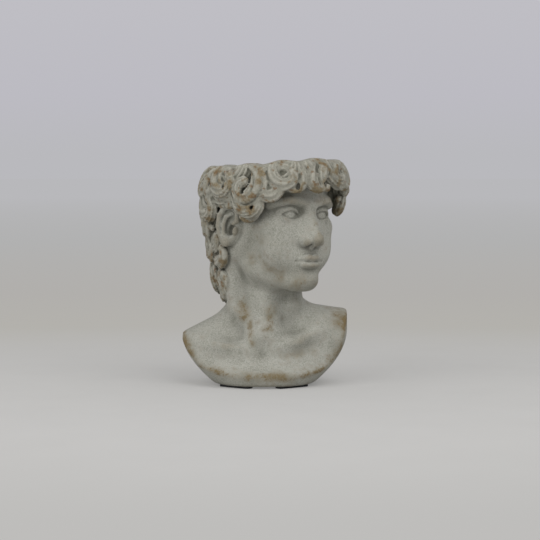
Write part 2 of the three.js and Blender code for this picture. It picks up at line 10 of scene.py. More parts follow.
import bpy
import numpy as np
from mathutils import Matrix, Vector


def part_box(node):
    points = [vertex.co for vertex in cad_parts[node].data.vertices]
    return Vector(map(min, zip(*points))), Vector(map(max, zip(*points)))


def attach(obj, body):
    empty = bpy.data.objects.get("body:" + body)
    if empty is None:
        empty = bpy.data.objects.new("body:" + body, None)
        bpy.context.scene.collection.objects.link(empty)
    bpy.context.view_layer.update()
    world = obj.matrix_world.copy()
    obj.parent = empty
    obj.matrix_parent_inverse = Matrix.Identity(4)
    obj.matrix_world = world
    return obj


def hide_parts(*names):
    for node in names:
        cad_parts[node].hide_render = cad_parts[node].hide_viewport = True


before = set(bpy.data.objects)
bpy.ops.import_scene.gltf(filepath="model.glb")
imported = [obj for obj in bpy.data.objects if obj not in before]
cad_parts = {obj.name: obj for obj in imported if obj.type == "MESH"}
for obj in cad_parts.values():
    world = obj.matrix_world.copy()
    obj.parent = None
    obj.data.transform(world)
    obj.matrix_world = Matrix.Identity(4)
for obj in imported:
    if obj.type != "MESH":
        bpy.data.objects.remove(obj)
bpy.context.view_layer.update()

MM = 0.001

# Head, in millimetres from the underside of the casting, and in degrees
HEAD_AT = (11, -8, 96)
HEAD_TURN = 38
HEAD_LEAN = 2
HEAD_UNIT = 41 / 38                # the head's strokes are in 38ths of a third of the face

# Shoulders, and the bowl that they end in
LEFT_SHOULDER_RISE = 6
BOWL_MIDDLE = (3.5, -2)
BASE_HALVES = (50, 51)
BOWL_FLARE = (33, 11)
BOWL_HEIGHT = 54
BOWL_SQUARENESS = 2.4
BOWL_STEEPNESS = 0.85              # of the distance to the bowl, which leans outwards
BOWL_BLEND = 3
BASE_ROUNDING = 3

# Eyes, in head units
EYE_MIDDLE = (17.2, 38.0, 66.8)
EYE_RADIUS = 11
LID_RADIUS = 13.3
LID_MIDDLE = (17.6, 66.3)          # across and up
LID_HALF_WIDTH = 9.6
LID_RISE = 4.6
LID_FALL = 3.4
LID_SLANT = 0.08
LID_SLANT_ABOUT = 17.4

# Hair, in head units
HAIR_HALVES = (59.5 / HEAD_UNIT, 70 / HEAD_UNIT)
HAIR_HEIGHTS = (-24, -8, 8, 24, 40, 60, 84, 104, 130)
HAIR_GIRTHS = (0.50, 0.57, 0.67, 0.77, 0.84, 0.95, 0.99, 0.955, 0.92)
HAIR_MIDDLES = (-10, -9, -8, -6, -3, -1, 0, 2.5, 3)
HAIR_EDGE_TURNS = (0, 40, 52, 59, 66, 76, 86, 107, 109, 112, 120, 140, 180)
HAIR_EDGE_HEIGHTS = (105, 103, 93, 78, 72, 76, 88, 83, 50, 24, 8, 0, -4)
LEFT_TEMPLE = (68, 16, 12)         # where the hair's edge lies higher: middle and half width in degrees, rise
HAIR_MEAN_HALF = 60
HAIR_TOP = 122
HAIR_SLOPE_STEP = 4
CAP_REACH = 58                     # for a whole girth
CAP_ABOVE = 2.2                    # over the surface that the locks are laid along
CAP_STRANDS = 26                   # grooves over half a turn, which lean with the height
CAP_STRAND_LEAN = 0.25
CAP_STRAND_DEPTH = 1.2
CAP_BELOW_EDGE = 7
CAP_EDGE_SLOPE = 0.7
CAP_ROUNDING = 10
OUTER_ROWS = (                     # height and count, from the nape up
    (12, 12), (32, 13), (53, 14), (74, 15), (95, 16), (113, 19),
)
UNDER_ROWS = (                     # the same, between and below the outer ones
    (22, 11), (43, 12), (64, 13), (85, 14), (105, 15), (123, 17),
)
UNDER_ROW_DEPTH = 4
LOCK_HEADING = 50                  # degrees to one side, at its root
LOCK_SCATTER = {                   # how far a lock may differ from the next, in the order of its seeds
    "direction": 0.06, "height": 3, "heading": 0.45, "length": 0.14, "width": 0.12, "twist": 3,
}
ROW_SEEDS = 100                    # between the first seeds of two rows
SCATTER_TURN = 12.9898
SCATTER_HEIGHT = 43758.5453
LOCK_LENGTH = 58 / HEAD_UNIT
LOCK_HALF_WIDTH = 9.6 / HEAD_UNIT
LOCK_FLATNESS = 1.25               # of a lock's section, across against out
LOCK_LIFTS = (0.1, 0.72)           # of its middle off the hair at its root and its curl, in half widths
LOCK_OVERHANG = 8.6 / HEAD_UNIT
LOCK_LEAST_LENGTH = 24 / HEAD_UNIT
LOCK_DROP = 0.55                   # how much of its length a lock hangs down
LOCK_KNOTS = 24
LOCK_BEND = 0.035                  # radians a unit at its root
CURL_BEND = 0.15                   # the same, added up to its tip
CURL_TIGHTENING = 1.6
LOCK_ROOT = 0.6                    # of its half width
LOCK_SWELLING = 1.3
LOCK_TAPER = 0.45
LOCK_TAPER_FROM = 0.45
LOCK_RISEN_AT = 0.7
LOCK_BLEND = 1.0
RIGHT_TEMPLE_CURLS = (             # degrees from the face, height, heading, hand, length, half width
    (44, 117, -25, 1, 46, 7.4), (55, 106, -20, 1, 44, 7.2),
)
LEFT_TEMPLE_CURLS = (
    (44, 117, -25, 1, 40, 7.4), (55, 110, -20, 1, 34, 7.2),
)
NAPE_CURLS = (                     # on each side
    (142, 52, 60, -1, 34, 7.6), (120, 27, 55, 1, 32, 7.0),
    (122, 14, 70, -1, 34, 7.0), (128, 3, 60, 1, 30, 6.6),
)
SIDE_CURL_LIFT = 1
SIDE_CURL_TWIST = 1
NAPE_TOP = 50                      # where the rows leave the sides of the nape to laid curls
NAPE_BACK = 140
STRANDS = 9                        # round a whole lock
STRAND_UNEVENNESS = 0.25
STRAND_DEPTH = 0.25                # of the lock's half width
DRILL_RADII = (2.2, 3.2)           # of the holes drilled into some curls, across and up
DRILL_DEPTH = 7
DRILL_BLEND = 1.5
DRILLED_TWIST = 0.3                # outer locks that twist more are drilled

# Planting pocket and drain, in millimetres
RIM_HEIGHT = 219
RIM_FRONT_RISE = 5
RIM_FRONT_WIDTH = 0.9              # radians
RIM_DIP = 2.4                      # between the tops of the curls
RIM_DIPS = 11                      # in a full turn
RIM_SIDE_DROP = 3                  # where the rim is lowest, behind the right ear
RIM_SIDE_AT = -125                 # degrees from the face
RIM_SIDE_SHARPNESS = 3
RIM_SOFTNESS = 5
POCKET_FLOOR_HEIGHT = 120
POCKET_DEPTH = 99
POCKET_FLOOR = (26, 31)
POCKET_MOUTH = (43, 51)
POCKET_ROUNDING = 10
POCKET_FORWARD = 3
DRAIN_AT = (8, -5)
DRAIN_BORE = 12
DRAIN_BLEND = 0.8

# Mesh of the bust
GRID_STEP = 1.15
GRID_MARGIN = 4
EMPTY = 60                         # distance of a grid point before any clay is laid
FAR = 200                          # past all of the bust
RELAX_ROUNDS = 2
RELAX_PULLS = (0.5, -0.515)        # towards the neighbours, then back out
TRIANGLE_LIMIT = 190_000
RIDGE_SIZES = {"relief": 2.5, "swell": 7}
HAIR_FADE = 1.5
RAW_DEPTHS = (2, 6)                # below the outside, where bare casting starts and is full

# Where ochre was rubbed on: how strongly, how far it spreads, and then the line that was rubbed
BODY_RUBS = (                      # in millimetres
    (2.7, 6, (-19, -29, 79), (-14, -32, 69)),
    (1.6, 4.5, (-14, -32, 69), (-11, -36, 62), (-8, -42, 49), (-6, -43, 41)),
    (1.2, 13, (74, -7, 72), (80, -18, 61)),
    (0.7, 5, (22, -43, 29), (37, -37, 31), (52, -30, 33)),
    (1.3, 6, (12, -37, 76), (9, -41, 66), (8, -43, 58)),
)
HEAD_RUBS = (                      # in head units
    (1.0, 12, (-32, 18, 27), (-20, 38, 14)),
    (0.9, 9, (-9, 50, 6), (10, 50, 6)),
    (0.7, 4.5, (0, 58, 62), (0, 66, 47)),
    (0.8, 4, (-30, 44, 80), (-10, 54, 82)),
    (0.8, 4, (10, 54, 82), (30, 44, 80)),
    (0.8, 9, (-37, 26, 54), (-34, 30, 44)),
)
RIDGE_RUB = (1.4, 4.5)             # strength and spread, along the ridge that the bowl cuts

# Drain stopper, in millimetres, with heights from the pocket's floor
STOPPER_STEM = (4.4, 5.6)          # radius at its tip and at the flange
STOPPER_STEM_LENGTH = 14
STOPPER_TIP_EDGE = 0.8
STOPPER_FLANGE = 10
STOPPER_SEAT = 0.4
STOPPER_UNDERCUT = 0.1
STOPPER_LIP = 0.4
STOPPER_FLANGE_EDGE = (1.5, 1)     # width and height of its slope
STOPPER_FLANGE_TOP = 3.4
STOPPER_GRIP = 4.5
STOPPER_GRIP_PROFILE = (           # shares of its radius and its height
    (0.8, 0.06), (0.65, 0.25), (0.65, 0.5), (1, 0.66), (1, 0.88), (0.7, 1), (0, 1),
)
STOPPER_TOP = 14.4
STOPPER_RIBS = 3
STOPPER_RIB_DEPTH = 0.6
STOPPER_RIB_PROFILE = (            # shares of its pitch and its depth
    (0.1, 0), (0.4, 0), (0.5, 1), (0.9, 1),
)
STOPPER_SEGMENTS = 72
CORNER_CUT = 0.25                  # of each side of a corner in its profile
CORNER_ROUNDS = 2

# Foot pads, in millimetres
PAD_NODES = [f"foot_pad_{end}_{side}" for end in ("front", "rear") for side in ("left", "right")]
PAD_INPUTS = {                     # of the node group that makes them
    "Length": "Float", "Width": "Float", "Thickness": "Float", "Corner": "Float", "Finish": "Material",
}
PAD_CORNER = 3
PAD_CORNER_STEPS = 8
PAD_EDGE = 0.5
PAD_WELD = 0.01

# Camera and light, in metres
SENSOR_WIDTH = 36                  # millimetres
CAMERA_DISTANCE = 1.85
CAMERA_HEIGHT = 0.23
AIM_AT = (0.003, 0.0, 0.114)
FRAME_WIDTH = 0.538
FLOOR_SIZE = 30
FLOOR_FRONT = -1                   # where the floor's run of colours starts, along Y
FLOOR_RUN = 9
FLOOR_ROUND = (1.5, 4)             # from where to where the colours turn to rings round the object
FLOOR_LIT = (0.3, 0.75)            # from where to where the lit paper gives way to plain colour
SHADOW_FADE = 0.4                  # how much of the object's shadow the bright paper swallows
LAMPS = (                          # name, place, size, power
    ("key", (0.9, -1.2, 1.6), 1.8, 22),
    ("fill", (-1.3, -1.3, 0.9), 1.8, 20),
)
ROOM_STRENGTH = 0.62


def rgb(red, green, blue):
    """A colour as it shows on a screen, 0 to 255, in the renderer's linear values."""
    shares = [value / 255 for value in (red, green, blue)]
    return (*(share / 12.92 if share < 0.04 else ((share + 0.055) / 1.055) ** 2.4 for share in shares), 1)


# Sizes of the marks on the materials, in millimetres
PATCH_SIZE = 30
KEPT_SIZE = 17                     # of the places where rubbed ochre has kept
GILDING_SIZE = 12
BLOT_SIZE = 7
STREAK_SIZE = 6
PIT_SPACING = 2.2
GRAIN_SIZE = 1.3
CEMENT_BUMPS = 0.5
BLOOM_SIZE = 4                     # on the rubber
RUBBER_GRAIN_SIZE = 0.5
RUBBER_BUMPS = 0.1
DUST_SIZE = 5                      # on the foam
BUBBLE_SPACING = 0.7
FOAM_BUMPS = 0.2
MOTTLE_SIZE = 60                   # on the floor

# Colours
CEMENT = rgb(122, 121, 109)
WASH = rgb(169, 169, 160)
UMBER = rgb(116, 107, 92)
OCHRE = rgb(106, 91, 60)
HAIR_CEMENT = rgb(114, 111, 96)
RUST = rgb(104, 80, 54)
# chalk on the tops of the locks, partly a painted highlight
CHALK_AND_HIGHLIGHT = rgb(162, 160, 148)
# painted shade for the recesses and the gaps between the locks
PAINTED_SHADE_IN_RECESSES = rgb(74, 74, 62)
# painted shade inside the pinholes
PINHOLE_SHADE = rgb(88, 86, 76)
RAW_DARK = rgb(110, 110, 106)
RAW_LIGHT = rgb(138, 138, 132)
RUBBER = rgb(38, 38, 39)
RUBBER_BLOOM = rgb(62, 62, 62)
FOAM = rgb(20, 20, 22)
FOAM_DUST = rgb(48, 47, 45)
FLOOR_DARK = rgb(187, 186, 183)
FLOOR_LIGHT = rgb(193, 192, 189)
ROOM_LIGHT = rgb(250, 250, 255)
FLOOR_STOPS = (                    # along the floor, from before the object to far behind it
    (0.055, rgb(190, 189, 187)), (0.133, rgb(186, 185, 182)), (0.178, rgb(179, 177, 172)),
    (0.244, rgb(177, 175, 172)), (0.444, rgb(177, 177, 177)), (1.0, rgb(184, 184, 187)),
)
BACKDROP_STOPS = (                 # up from the horizon
    (0.0, rgb(185, 185, 189)), (0.031, rgb(188, 187, 194)), (0.08, rgb(191, 190, 196)),
)


# Clay

class Shape:
    """A signed distance, negative inside, and the box that holds the shape."""

    def __init__(self, distance, low, high):
        self.distance = distance
        self.low = np.array(low, float)
        self.high = np.array(high, float)


class Place:
    """A placed frame: the columns of turn are its axes, and one of its units is scale millimetres."""

    def __init__(self, origin=(0, 0, 0), turn=None, scale=1.0):
        self.origin = np.array(origin, float)
        self.turn = np.eye(3) if turn is None else np.array(turn, float)
        self.scale = scale

    def inward(self, points):
        return (points - self.origin) @ (self.turn / self.scale)

    def outward(self, points):
        return np.array(points, float) @ self.turn.T * self.scale + self.origin


class Clay:
    """A grid of signed distances that shapes are added to and carved from."""

    def __init__(self, low, high, step):
        self.low = np.array(low, float)
        self.step = step
        counts = np.ceil((np.array(high) - self.low) / step).astype(int) + 1
        self.axes = [self.low[i] + step * np.arange(counts[i]) for i in range(3)]
        self.field = np.full(counts, EMPTY, np.float32)

    def window(self, shape, margin):
        picks = []
        for i in range(3):
            first = int(np.floor((shape.low[i] - margin - self.low[i]) / self.step))
            last = int(np.ceil((shape.high[i] + margin - self.low[i]) / self.step)) + 1
            picks.append(slice(max(first, 0), max(min(last, len(self.axes[i])), 0)))
        return tuple(picks)

    def points(self, window):
        grid = np.meshgrid(*(self.axes[i][window[i]] for i in range(3)), indexing="ij")
        return np.stack(grid, -1).astype(np.float32)

    def add(self, shape, blend=0.0, sign=1):
        window = self.window(shape, blend + 3 * self.step)
        if all(part.stop > part.start for part in window):
            distance = shape.distance(self.points(window))
            self.field[window] = sign * soft_min(sign * self.field[window], distance, blend)

    def carve(self, shape, blend=0.0):
        self.add(shape, blend, sign=-1)

    def sample(self, values, points):
        """Values of a grid at points, read between its eight nearest cells."""
        place = (points - self.low) / self.step
        first = np.clip(np.floor(place).astype(int), 0, np.array(values.shape) - 2)
        share = np.clip(place - first, 0, 1)
        total = np.zeros(len(points))
        for corner in np.ndindex(2, 2, 2):
            weight = np.prod(np.where(corner, share, 1 - share), axis=1)
            total += weight * values[tuple((first + corner).T)]
        return total


def soft_min(a, b, blend):
    if blend <= 0:
        return np.minimum(a, b)
    overlap = np.maximum(blend - np.abs(a - b), 0) / blend
    return np.minimum(a, b) - overlap * overlap * blend / 4


def rotation(axis, degrees):
    c, s = cos(radians(degrees)), sin(radians(degrees))
    i, j = ((1, 2), (2, 0), (0, 1))[axis]
    matrix = np.eye(3)
    matrix[i, i] = matrix[j, j] = c
    matrix[i, j] = -s
    matrix[j, i] = s
    return matrix


def lengths(vectors):
    return np.sqrt(np.einsum("...i,...i", vectors, vectors))


def ellipsoid(place, centre, radii):
    own = Place(place.outward(centre), place.turn)
    radii = np.array(radii, float) * place.scale

    def distance(points):
        unit = own.inward(points) / radii
        outer = lengths(unit)
        return (outer * (outer - 1) / np.maximum(lengths(unit / radii), 1e-6)).astype(np.float32)

    return Shape(distance, own.origin - radii.max(), own.origin + radii.max())


def tube(place, points, radii):
    """A chain of tapered round segments."""
    knots = place.outward(points).astype(np.float32)
    radii = np.array(radii, np.float32) * place.scale

    def distance(points):
        best = None
        for a, b, start, end in zip(knots, knots[1:], radii, radii[1:]):
            run = b - a
            offset = points - a
            share = np.clip((offset @ run) / max(float(run @ run), 1e-6), 0, 1)
            offset -= share[..., None] * run
            gap = lengths(offset) - (start + share * (end - start))
            best = gap if best is None else np.minimum(best, gap)
        return best

    return Shape(distance, knots.min(0) - radii.max(), knots.max(0) + radii.max())


def rope(place, spine, outs, radii, twist):
    """A tapered tube, a little flat, whose surface is grooved into strands that wind slowly round it."""
    knots = place.outward(spine).astype(np.float32)
    ups = (outs @ place.turn.T).astype(np.float32)
    radii = (np.array(radii) * place.scale).astype(np.float32)

    def distance(points):
        nearest = np.full(points.shape[:-1], np.inf, np.float32)
        girth = np.zeros_like(nearest)
        turn = np.zeros_like(nearest)
        for i in range(len(knots) - 1):
            run = knots[i + 1] - knots[i]
            side = np.cross(run, ups[i])
            side /= max(lengths(side), 1e-6)
            offset = points - knots[i]
            share = np.clip((offset @ run) / max(float(run @ run), 1e-6), 0, 1)
            offset -= share[..., None] * run
            offset += (LOCK_FLATNESS - 1) * (offset @ ups[i])[..., None] * ups[i]
            radius = radii[i] + share * (radii[i + 1] - radii[i])
            gap = lengths(offset) - radius
            closer = gap < nearest
            nearest[closer] = gap[closer]
            girth[closer] = radius[closer]
            swing = np.arctan2(offset @ side, offset @ ups[i]) + twist * (i + share) / len(knots)
            turn[closer] = swing[closer]
        groove = 1 - np.abs(np.cos(STRANDS / 2 * (turn + STRAND_UNEVENNESS * np.sin(2 * turn + twist))))
        return nearest + STRAND_DEPTH * girth * groove

    return Shape(distance, knots.min(0) - radii.max(), knots.max(0) + radii.max())


BODY = Place()
# The head's axes are lateral (to the figure's left), forward and up.
HEAD = Place(HEAD_AT, rotation(2, HEAD_TURN) @ rotation(1, HEAD_LEAN) @ np.diag([1, -1, 1]), HEAD_UNIT)
SIDES = (-1, 1)                    # the figure's right, then its left


def on_side(side, points):
    return [(x * side, y, z) for x, y, z in points]


# Shoulders and neck, in millimetres

def lay_torso(clay):
    clay.add(ellipsoid(BODY, (2, 0, -16), (94, 64, 58)))
    clay.add(tube(BODY, [(-16, 6, 50), (-86, 2, 17)], [28, 25]), 16)
    clay.add(tube(BODY, [(16, 6, 51), (90, 4, 43)], [31, 29]), 16)
    clay.add(ellipsoid(BODY, (4, 14, 24), (86, 50, 34)), 14)
    clay.add(tube(BODY, [(3, 3, 38), (5, 0, 110)], [35, 31]), 22)


def lay_throat(clay):
    for side in SIDES:
        rise = LEFT_SHOULDER_RISE if side > 0 else 0
        behind_ear = HEAD.outward((36 * side, -14, 32))
        cord = [behind_ear, (3 + 27 * side, -18, 78), (2 + 14 * side, -31, 52), (2 + 6 * side, -36, 38)]
        clay.add(tube(BODY, cord, [9, 9, 7.5, 5]), 9)
        collar = [(2 + 10 * side, -38, 35 + rise / 6), (2 + 36 * side, -34, 38 + rise),
                  (2 + 64 * side, -14, 42 + 3 * rise)]
        clay.add(tube(BODY, collar, [3.8, 3.8, 5]), 12)
        clay.carve(ellipsoid(BODY, (2 + 34 * side, -33, 56 + 1.4 * rise), (14, 5, 6)), 16)
    clay.add(tube(BODY, [(6, -28, 82), (3, -36, 47)], [10, 9]), 12)
    clay.carve(ellipsoid(BODY, (2, -54, 38), (7, 8, 9)), 14)


def bowl_depth(points):
    """How far points lie inside the bowl, a rounded square that widens upwards."""
    left = 1 - np.clip(points[..., 2] / BOWL_HEIGHT, 0, 1)
    flare = 1 - left * left
    halves = [BASE_HALVES[i] + BOWL_FLARE[i] * flare for i in (0, 1)]
    powers = [np.abs((points[..., i] - BOWL_MIDDLE[i]) / halves[i]) ** BOWL_SQUARENESS for i in (0, 1)]
    away = (powers[0] + powers[1]) ** (1 / BOWL_SQUARENESS)
    return ((1 - away) * np.minimum(*halves) * BOWL_STEEPNESS).astype(np.float32)


def cut_bowl(clay):
    """Arms and chest end along the bowl."""
    clay.carve(Shape(bowl_depth, (-FAR, -FAR, -GRID_MARGIN), (FAR, FAR, HEAD_AT[2])), BOWL_BLEND)


# Face and ears, in head units

def lay_skull(clay):
    clay.add(ellipsoid(HEAD, (0, 0, 88), (44, 56, 46)), 4)
    clay.add(ellipsoid(HEAD, (0, 16, 47), (35, 38, 48)), 14)
    for side in SIDES:
        clay.add(tube(HEAD, on_side(side, [(29, -2, 32), (27, 10, 17), (9, 41, 8)]), [8, 8, 9.5]), 12)
        clay.add(ellipsoid(HEAD, (30 * side, -12, 42), (11, 14, 22)), 10)
        clay.add(ellipsoid(HEAD, (28 * side, 32, 56), (11, 13, 9)), 14)
        clay.add(ellipsoid(HEAD, (20 * side, 37, 36), (15, 13, 18)), 12)
        clay.add(ellipsoid(HEAD, (38 * side, -6, 58), (8, 18, 26)), 16)
    clay.add(ellipsoid(HEAD, (0, 45, 9), (12.5, 11.5, 9.5)), 8)
    clay.add(ellipsoid(HEAD, (0, 43, 27), (20, 14, 14)), 9)


def lay_brows(clay):
    for side in SIDES:
        ridge = on_side(side, [(6, 53, 77), (20, 51.5, 80.5), (35, 37, 76.5)])
        clay.add(tube(HEAD, ridge, [4.5, 4.2, 3.8]), 5)
    for side in SIDES:
        clay.carve(ellipsoid(HEAD, (18.5 * side, 57, 68), (13.5, 14, 7.8)), 4)
        clay.carve(ellipsoid(HEAD, (9.5 * side, 57, 67), (4.2, 8.5, 6)), 4)


def lay_nose(clay):
    bridge = [(0, 51.5, 76), (0, 55.5, 64), (0, 60.5, 53.5), (0, 64.5, 47)]
    clay.add(tube(HEAD, bridge, [4.6, 4.0, 4.3, 4.6]), 5)
    for side in SIDES:
        clay.add(ellipsoid(HEAD, (13 * side, 46, 52), (7, 6, 9)), 8)
        clay.add(tube(HEAD, on_side(side, [(3.4, 56, 58), (5.2, 58.5, 48)]), [3.4, 3.8]), 4)
        clay.add(tube(HEAD, on_side(side, [(4.5, 50.5, 62), (7, 54, 47)]), [4.5, 5.2]), 7)
    clay.add(ellipsoid(HEAD, (0, 65, 45.5), (5.4, 5.2, 4.6)), 4)
    for side in SIDES:
        clay.add(ellipsoid(HEAD, (7.6 * side, 57.8, 43.4), (3.9, 6.2, 4.2)), 3)
    clay.add(tube(HEAD, [(0, 64, 42), (0, 56, 38.8)], [2.6, 2.8]), 2)
    for side in SIDES:
        clay.carve(ellipsoid(HEAD, (4.3 * side, 59.5, 39), (1.9, 3.8, 2.4)), 1.5)


def lay_mouth(clay):
    clay.carve(tube(HEAD, [(0, 60.5, 36), (0, 61.5, 31.5)], [2.0, 2.2]), 3)
    upper = [(-15, 50.8, 25.8), (-9, 55.4, 27.6), (-3.6, 58, 28.8), (0, 58.3, 28.0),
             (3.6, 58, 28.8), (9, 55.4, 27.6), (15, 50.8, 25.8)]
    clay.add(tube(HEAD, upper, [1.0, 2.5, 3.0, 2.8, 3.0, 2.5, 1.0]), 1.6)
    lower = [(-12.5, 51.6, 24.4), (-7, 55.8, 22.2), (0, 57.6, 21.5), (7, 55.8, 22.2), (12.5, 51.6, 24.4)]
    clay.add(tube(HEAD, lower, [1.2, 3.2, 3.7, 3.2, 1.2]), 1.6)
    parting = [(-15.5, 52.8, 25.8), (-9, 58.4, 25.4), (0, 61, 25.0), (9, 58.4, 25.4), (15.5, 52.8, 25.8)]
    clay.carve(tube(HEAD, parting, [0.6, 1.1, 1.2, 1.1, 0.6]), 1.2)
    clay.carve(tube(HEAD, [(-7, 60, 15.4), (7, 60, 15.4)], [3.4, 3.4]), 6)


def lay_eye(clay, side):
    """An eyeball, and lids as a thicker shell with an almond opening."""
    ball = np.array(on_side(side, [EYE_MIDDLE])[0])
    clay.add(ellipsoid(HEAD, ball, [EYE_RADIUS] * 3), 0.5)

    def lids(points):
        q = HEAD.inward(points)
        shell = lengths(q - ball) - LID_RADIUS
        lateral = q[..., 0] * side
        across = (lateral - LID_MIDDLE[0]) / LID_HALF_WIDTH
        arch = np.clip(1 - across * across, -1, 1)
        height = q[..., 2] - LID_MIDDLE[1] - LID_SLANT * (lateral - LID_SLANT_ABOUT)
        opening = np.maximum(height - LID_RISE * arch, -height - LID_FALL * arch)
        return (np.maximum(shell, -opening) * HEAD_UNIT).astype(np.float32)

    middle = HEAD.outward(ball)
    reach = LID_RADIUS * HEAD_UNIT
    clay.add(Shape(lids, middle - reach, middle + reach), 0.7)


def lay_ear(clay, side):
    lean = rotation(2, 18 * side) @ rotation(0, -12)
    ear = Place(HEAD.outward((49.5 * side, 0, 55)), HEAD.turn @ lean, HEAD_UNIT)
    clay.add(ellipsoid(ear, (-1 * side, -1, 0), (6, 11, 18.5)), 4)
    clay.carve(ellipsoid(ear, (4.6 * side, 0.5, 0), (4.6, 8.6, 14)), 2)
    helix = [(2.4, 3, 2), (3.2, 8.4, 7), (3.6, 7, 14.5), (4.0, 0.5, 18.4), (4.4, -7, 15.6),
             (4.6, -10.8, 7), (4.2, -10, -3), (3.4, -6.5, -11)]
    clay.add(tube(ear, on_side(side, helix), [1.6, 2.2, 2.5, 2.6, 2.6, 2.5, 2.3, 2.0]), 1)
    fold = [(2.6, 1, 11.5), (3.2, -4.2, 7.5), (3.4, -5.4, 0), (3.2, -3.2, -7.5)]
    clay.add(tube(ear, on_side(side, fold), [1.4, 2, 2.1, 1.8]), 1.5)
    clay.add(ellipsoid(ear, (2.2 * side, -0.5, -14), (3.3, 5, 5.4)), 3.5)
    clay.add(ellipsoid(ear, (2.6 * side, 7.8, -2.5), (2.4, 2.6, 4)), 2)
    clay.carve(ellipsoid(ear, (0.5 * side, 2.2, -2.6), (6.5, 4, 5.4)), 1.5)


# Hair

def hair_ring(height):
    """The hair's girth at a height, as a share of its halves, and how far forward its middle lies."""
    return np.interp(height, HAIR_HEIGHTS, HAIR_GIRTHS), np.interp(height, HAIR_HEIGHTS, HAIR_MIDDLES)


def within_half_turn(degrees):
    return (degrees + 180) % 360 - 180


def hair_edge(degrees):
    """The lowest height of the hair at an angle from the face."""
    turn = within_half_turn(degrees)
    middle, half, rise = LEFT_TEMPLE
    temple = rise * np.exp(-((turn - middle) / half) ** 2)
    return np.interp(np.abs(turn), HAIR_EDGE_TURNS, HAIR_EDGE_HEIGHTS) + temple


def hair_skin(direction, height):
    """Points on the hair's surface and the ways out of it. Direction 0 is forward, positive to the left."""
    girth, middle = hair_ring(height)
    across, along = HAIR_HALVES
    point = [across * girth * np.sin(direction), middle + along * girth * np.cos(direction), height]
    steps = [hair_ring(height + step)[0] for step in (HAIR_SLOPE_STEP, -HAIR_SLOPE_STEP)]
    slope = (steps[0] - steps[1]) / (2 * HAIR_SLOPE_STEP)
    out = np.stack([np.sin(direction) / across, np.cos(direction) / along, -slope], -1)
    return np.stack(point, -1), out / lengths(out)[:, None]


def lay_hair_cap(clay):
    """The mass of hair that the locks lie on, grooved into strands."""
    def inside(points):
        q = HEAD.inward(points)
        lateral, height = q[..., 0], q[..., 2]
        girth, middle = hair_ring(height)
        forward = q[..., 1] - middle
        round_head = np.sqrt((lateral / HAIR_HALVES[0]) ** 2 + (forward / HAIR_HALVES[1]) ** 2)
        turn = np.arctan2(lateral, forward)
        lowest = hair_edge(np.degrees(turn)) - CAP_BELOW_EDGE
        strands = 1 - np.abs(np.cos(CAP_STRANDS * turn + CAP_STRAND_LEAN * height))
        below_skin = (girth - round_head) * CAP_REACH + CAP_ABOVE - CAP_STRAND_DEPTH * strands
        depth = -soft_min(below_skin, (height - lowest) * CAP_EDGE_SLOPE, CAP_ROUNDING)
        return (np.maximum(depth, height - HAIR_TOP) * HEAD_UNIT).astype(np.float32)

    middle = HEAD.outward((0, 0, HAIR_TOP / 2))
    clay.add(Shape(inside, middle - FAR / 2, middle + FAR / 2), 3)


def scatter(seed):
    """A fixed scatter between -1 and 1, from the digits after the point of a steep wave."""
    wave = sin(seed * SCATTER_TURN) * SCATTER_HEIGHT
    return 2 * (wave - np.floor(wave)) - 1


def lock_scatter(row, i):
    """How the lock at a place in a row differs from the plain one."""
    first = ROW_SEEDS * row + len(LOCK_SCATTER) * i + 1
    return {name: spread * scatter(first + n) for n, (name, spread) in enumerate(LOCK_SCATTER.items())}


def lay_lock(clay, direction, height, heading, hand, length, half, depth, twist):
    """A lock that runs down the hair's surface and rolls up into a curl. Heading 0 is straight down."""
    along = np.arange(LOCK_KNOTS) / LOCK_KNOTS
    step = length / LOCK_KNOTS
    angles = heading + hand * step * np.cumsum(LOCK_BEND + CURL_BEND * along ** CURL_TIGHTENING)
    across = np.cumsum(step * np.sin(angles))
    drop = np.cumsum(step * np.cos(angles))
    turns = across / (HAIR_MEAN_HALF * hair_ring(height - drop)[0])
    points, outs = hair_skin(direction + turns, height - drop)
    taper = 1 - LOCK_TAPER * np.clip((along - LOCK_TAPER_FROM) / (1 - LOCK_TAPER_FROM), 0, 1)
    width = half * np.minimum(LOCK_ROOT + LOCK_SWELLING * along, 1) * taper
    curled = np.sin(pi / 2 * np.minimum(along / LOCK_RISEN_AT, 1))
    rise = half * (LOCK_LIFTS[0] + (LOCK_LIFTS[1] - LOCK_LIFTS[0]) * curled) - depth
    spine = points + outs * rise[:, None]
    clay.add(rope(HEAD, spine, outs, width, twist), LOCK_BLEND)
    return spine[LOCK_KNOTS // 2:].mean(0), outs[-1]


def drill(clay, middle, out):
    """A narrow hole into the middle of a curl."""
    turn = atan2(out[0], out[1])
    own = Place(HEAD.outward(middle), HEAD.turn @ rotation(2, -180 / pi * turn), HEAD_UNIT)
    clay.carve(ellipsoid(own, (0, 0, 0), (DRILL_RADII[0], DRILL_DEPTH, DRILL_RADII[1])), DRILL_BLEND)


def lay_lock_row(clay, row, height, count, depth):
    """A row of locks round the head, left out where the face and the ears leave too little room."""
    holes = []
    for i in range(count):
        degrees = 360 * (i + 0.5 * (row % 2)) / count
        room = (height - hair_edge(degrees) + LOCK_OVERHANG) / LOCK_DROP
        behind_ear = height < NAPE_TOP and abs(within_half_turn(degrees)) < NAPE_BACK
        if room < LOCK_LEAST_LENGTH or behind_ear:
            continue
        own = lock_scatter(row, i)
        hand = 1 if (row + i) % 2 else -1
        size = min(room / LOCK_LENGTH, 1) ** 0.5
        curl = lay_lock(
            clay,
            direction=radians(degrees) + own["direction"],
            height=height + own["height"],
            heading=-hand * radians(LOCK_HEADING) + own["heading"],
            hand=hand,
            length=min(room, LOCK_LENGTH * (1 + own["length"])),
            half=LOCK_HALF_WIDTH * size * (1 + own["width"]),
            depth=depth,
            twist=own["twist"],
        )
        if depth == 0 and own["twist"] > DRILLED_TWIST:
            holes.append(curl)
    return holes


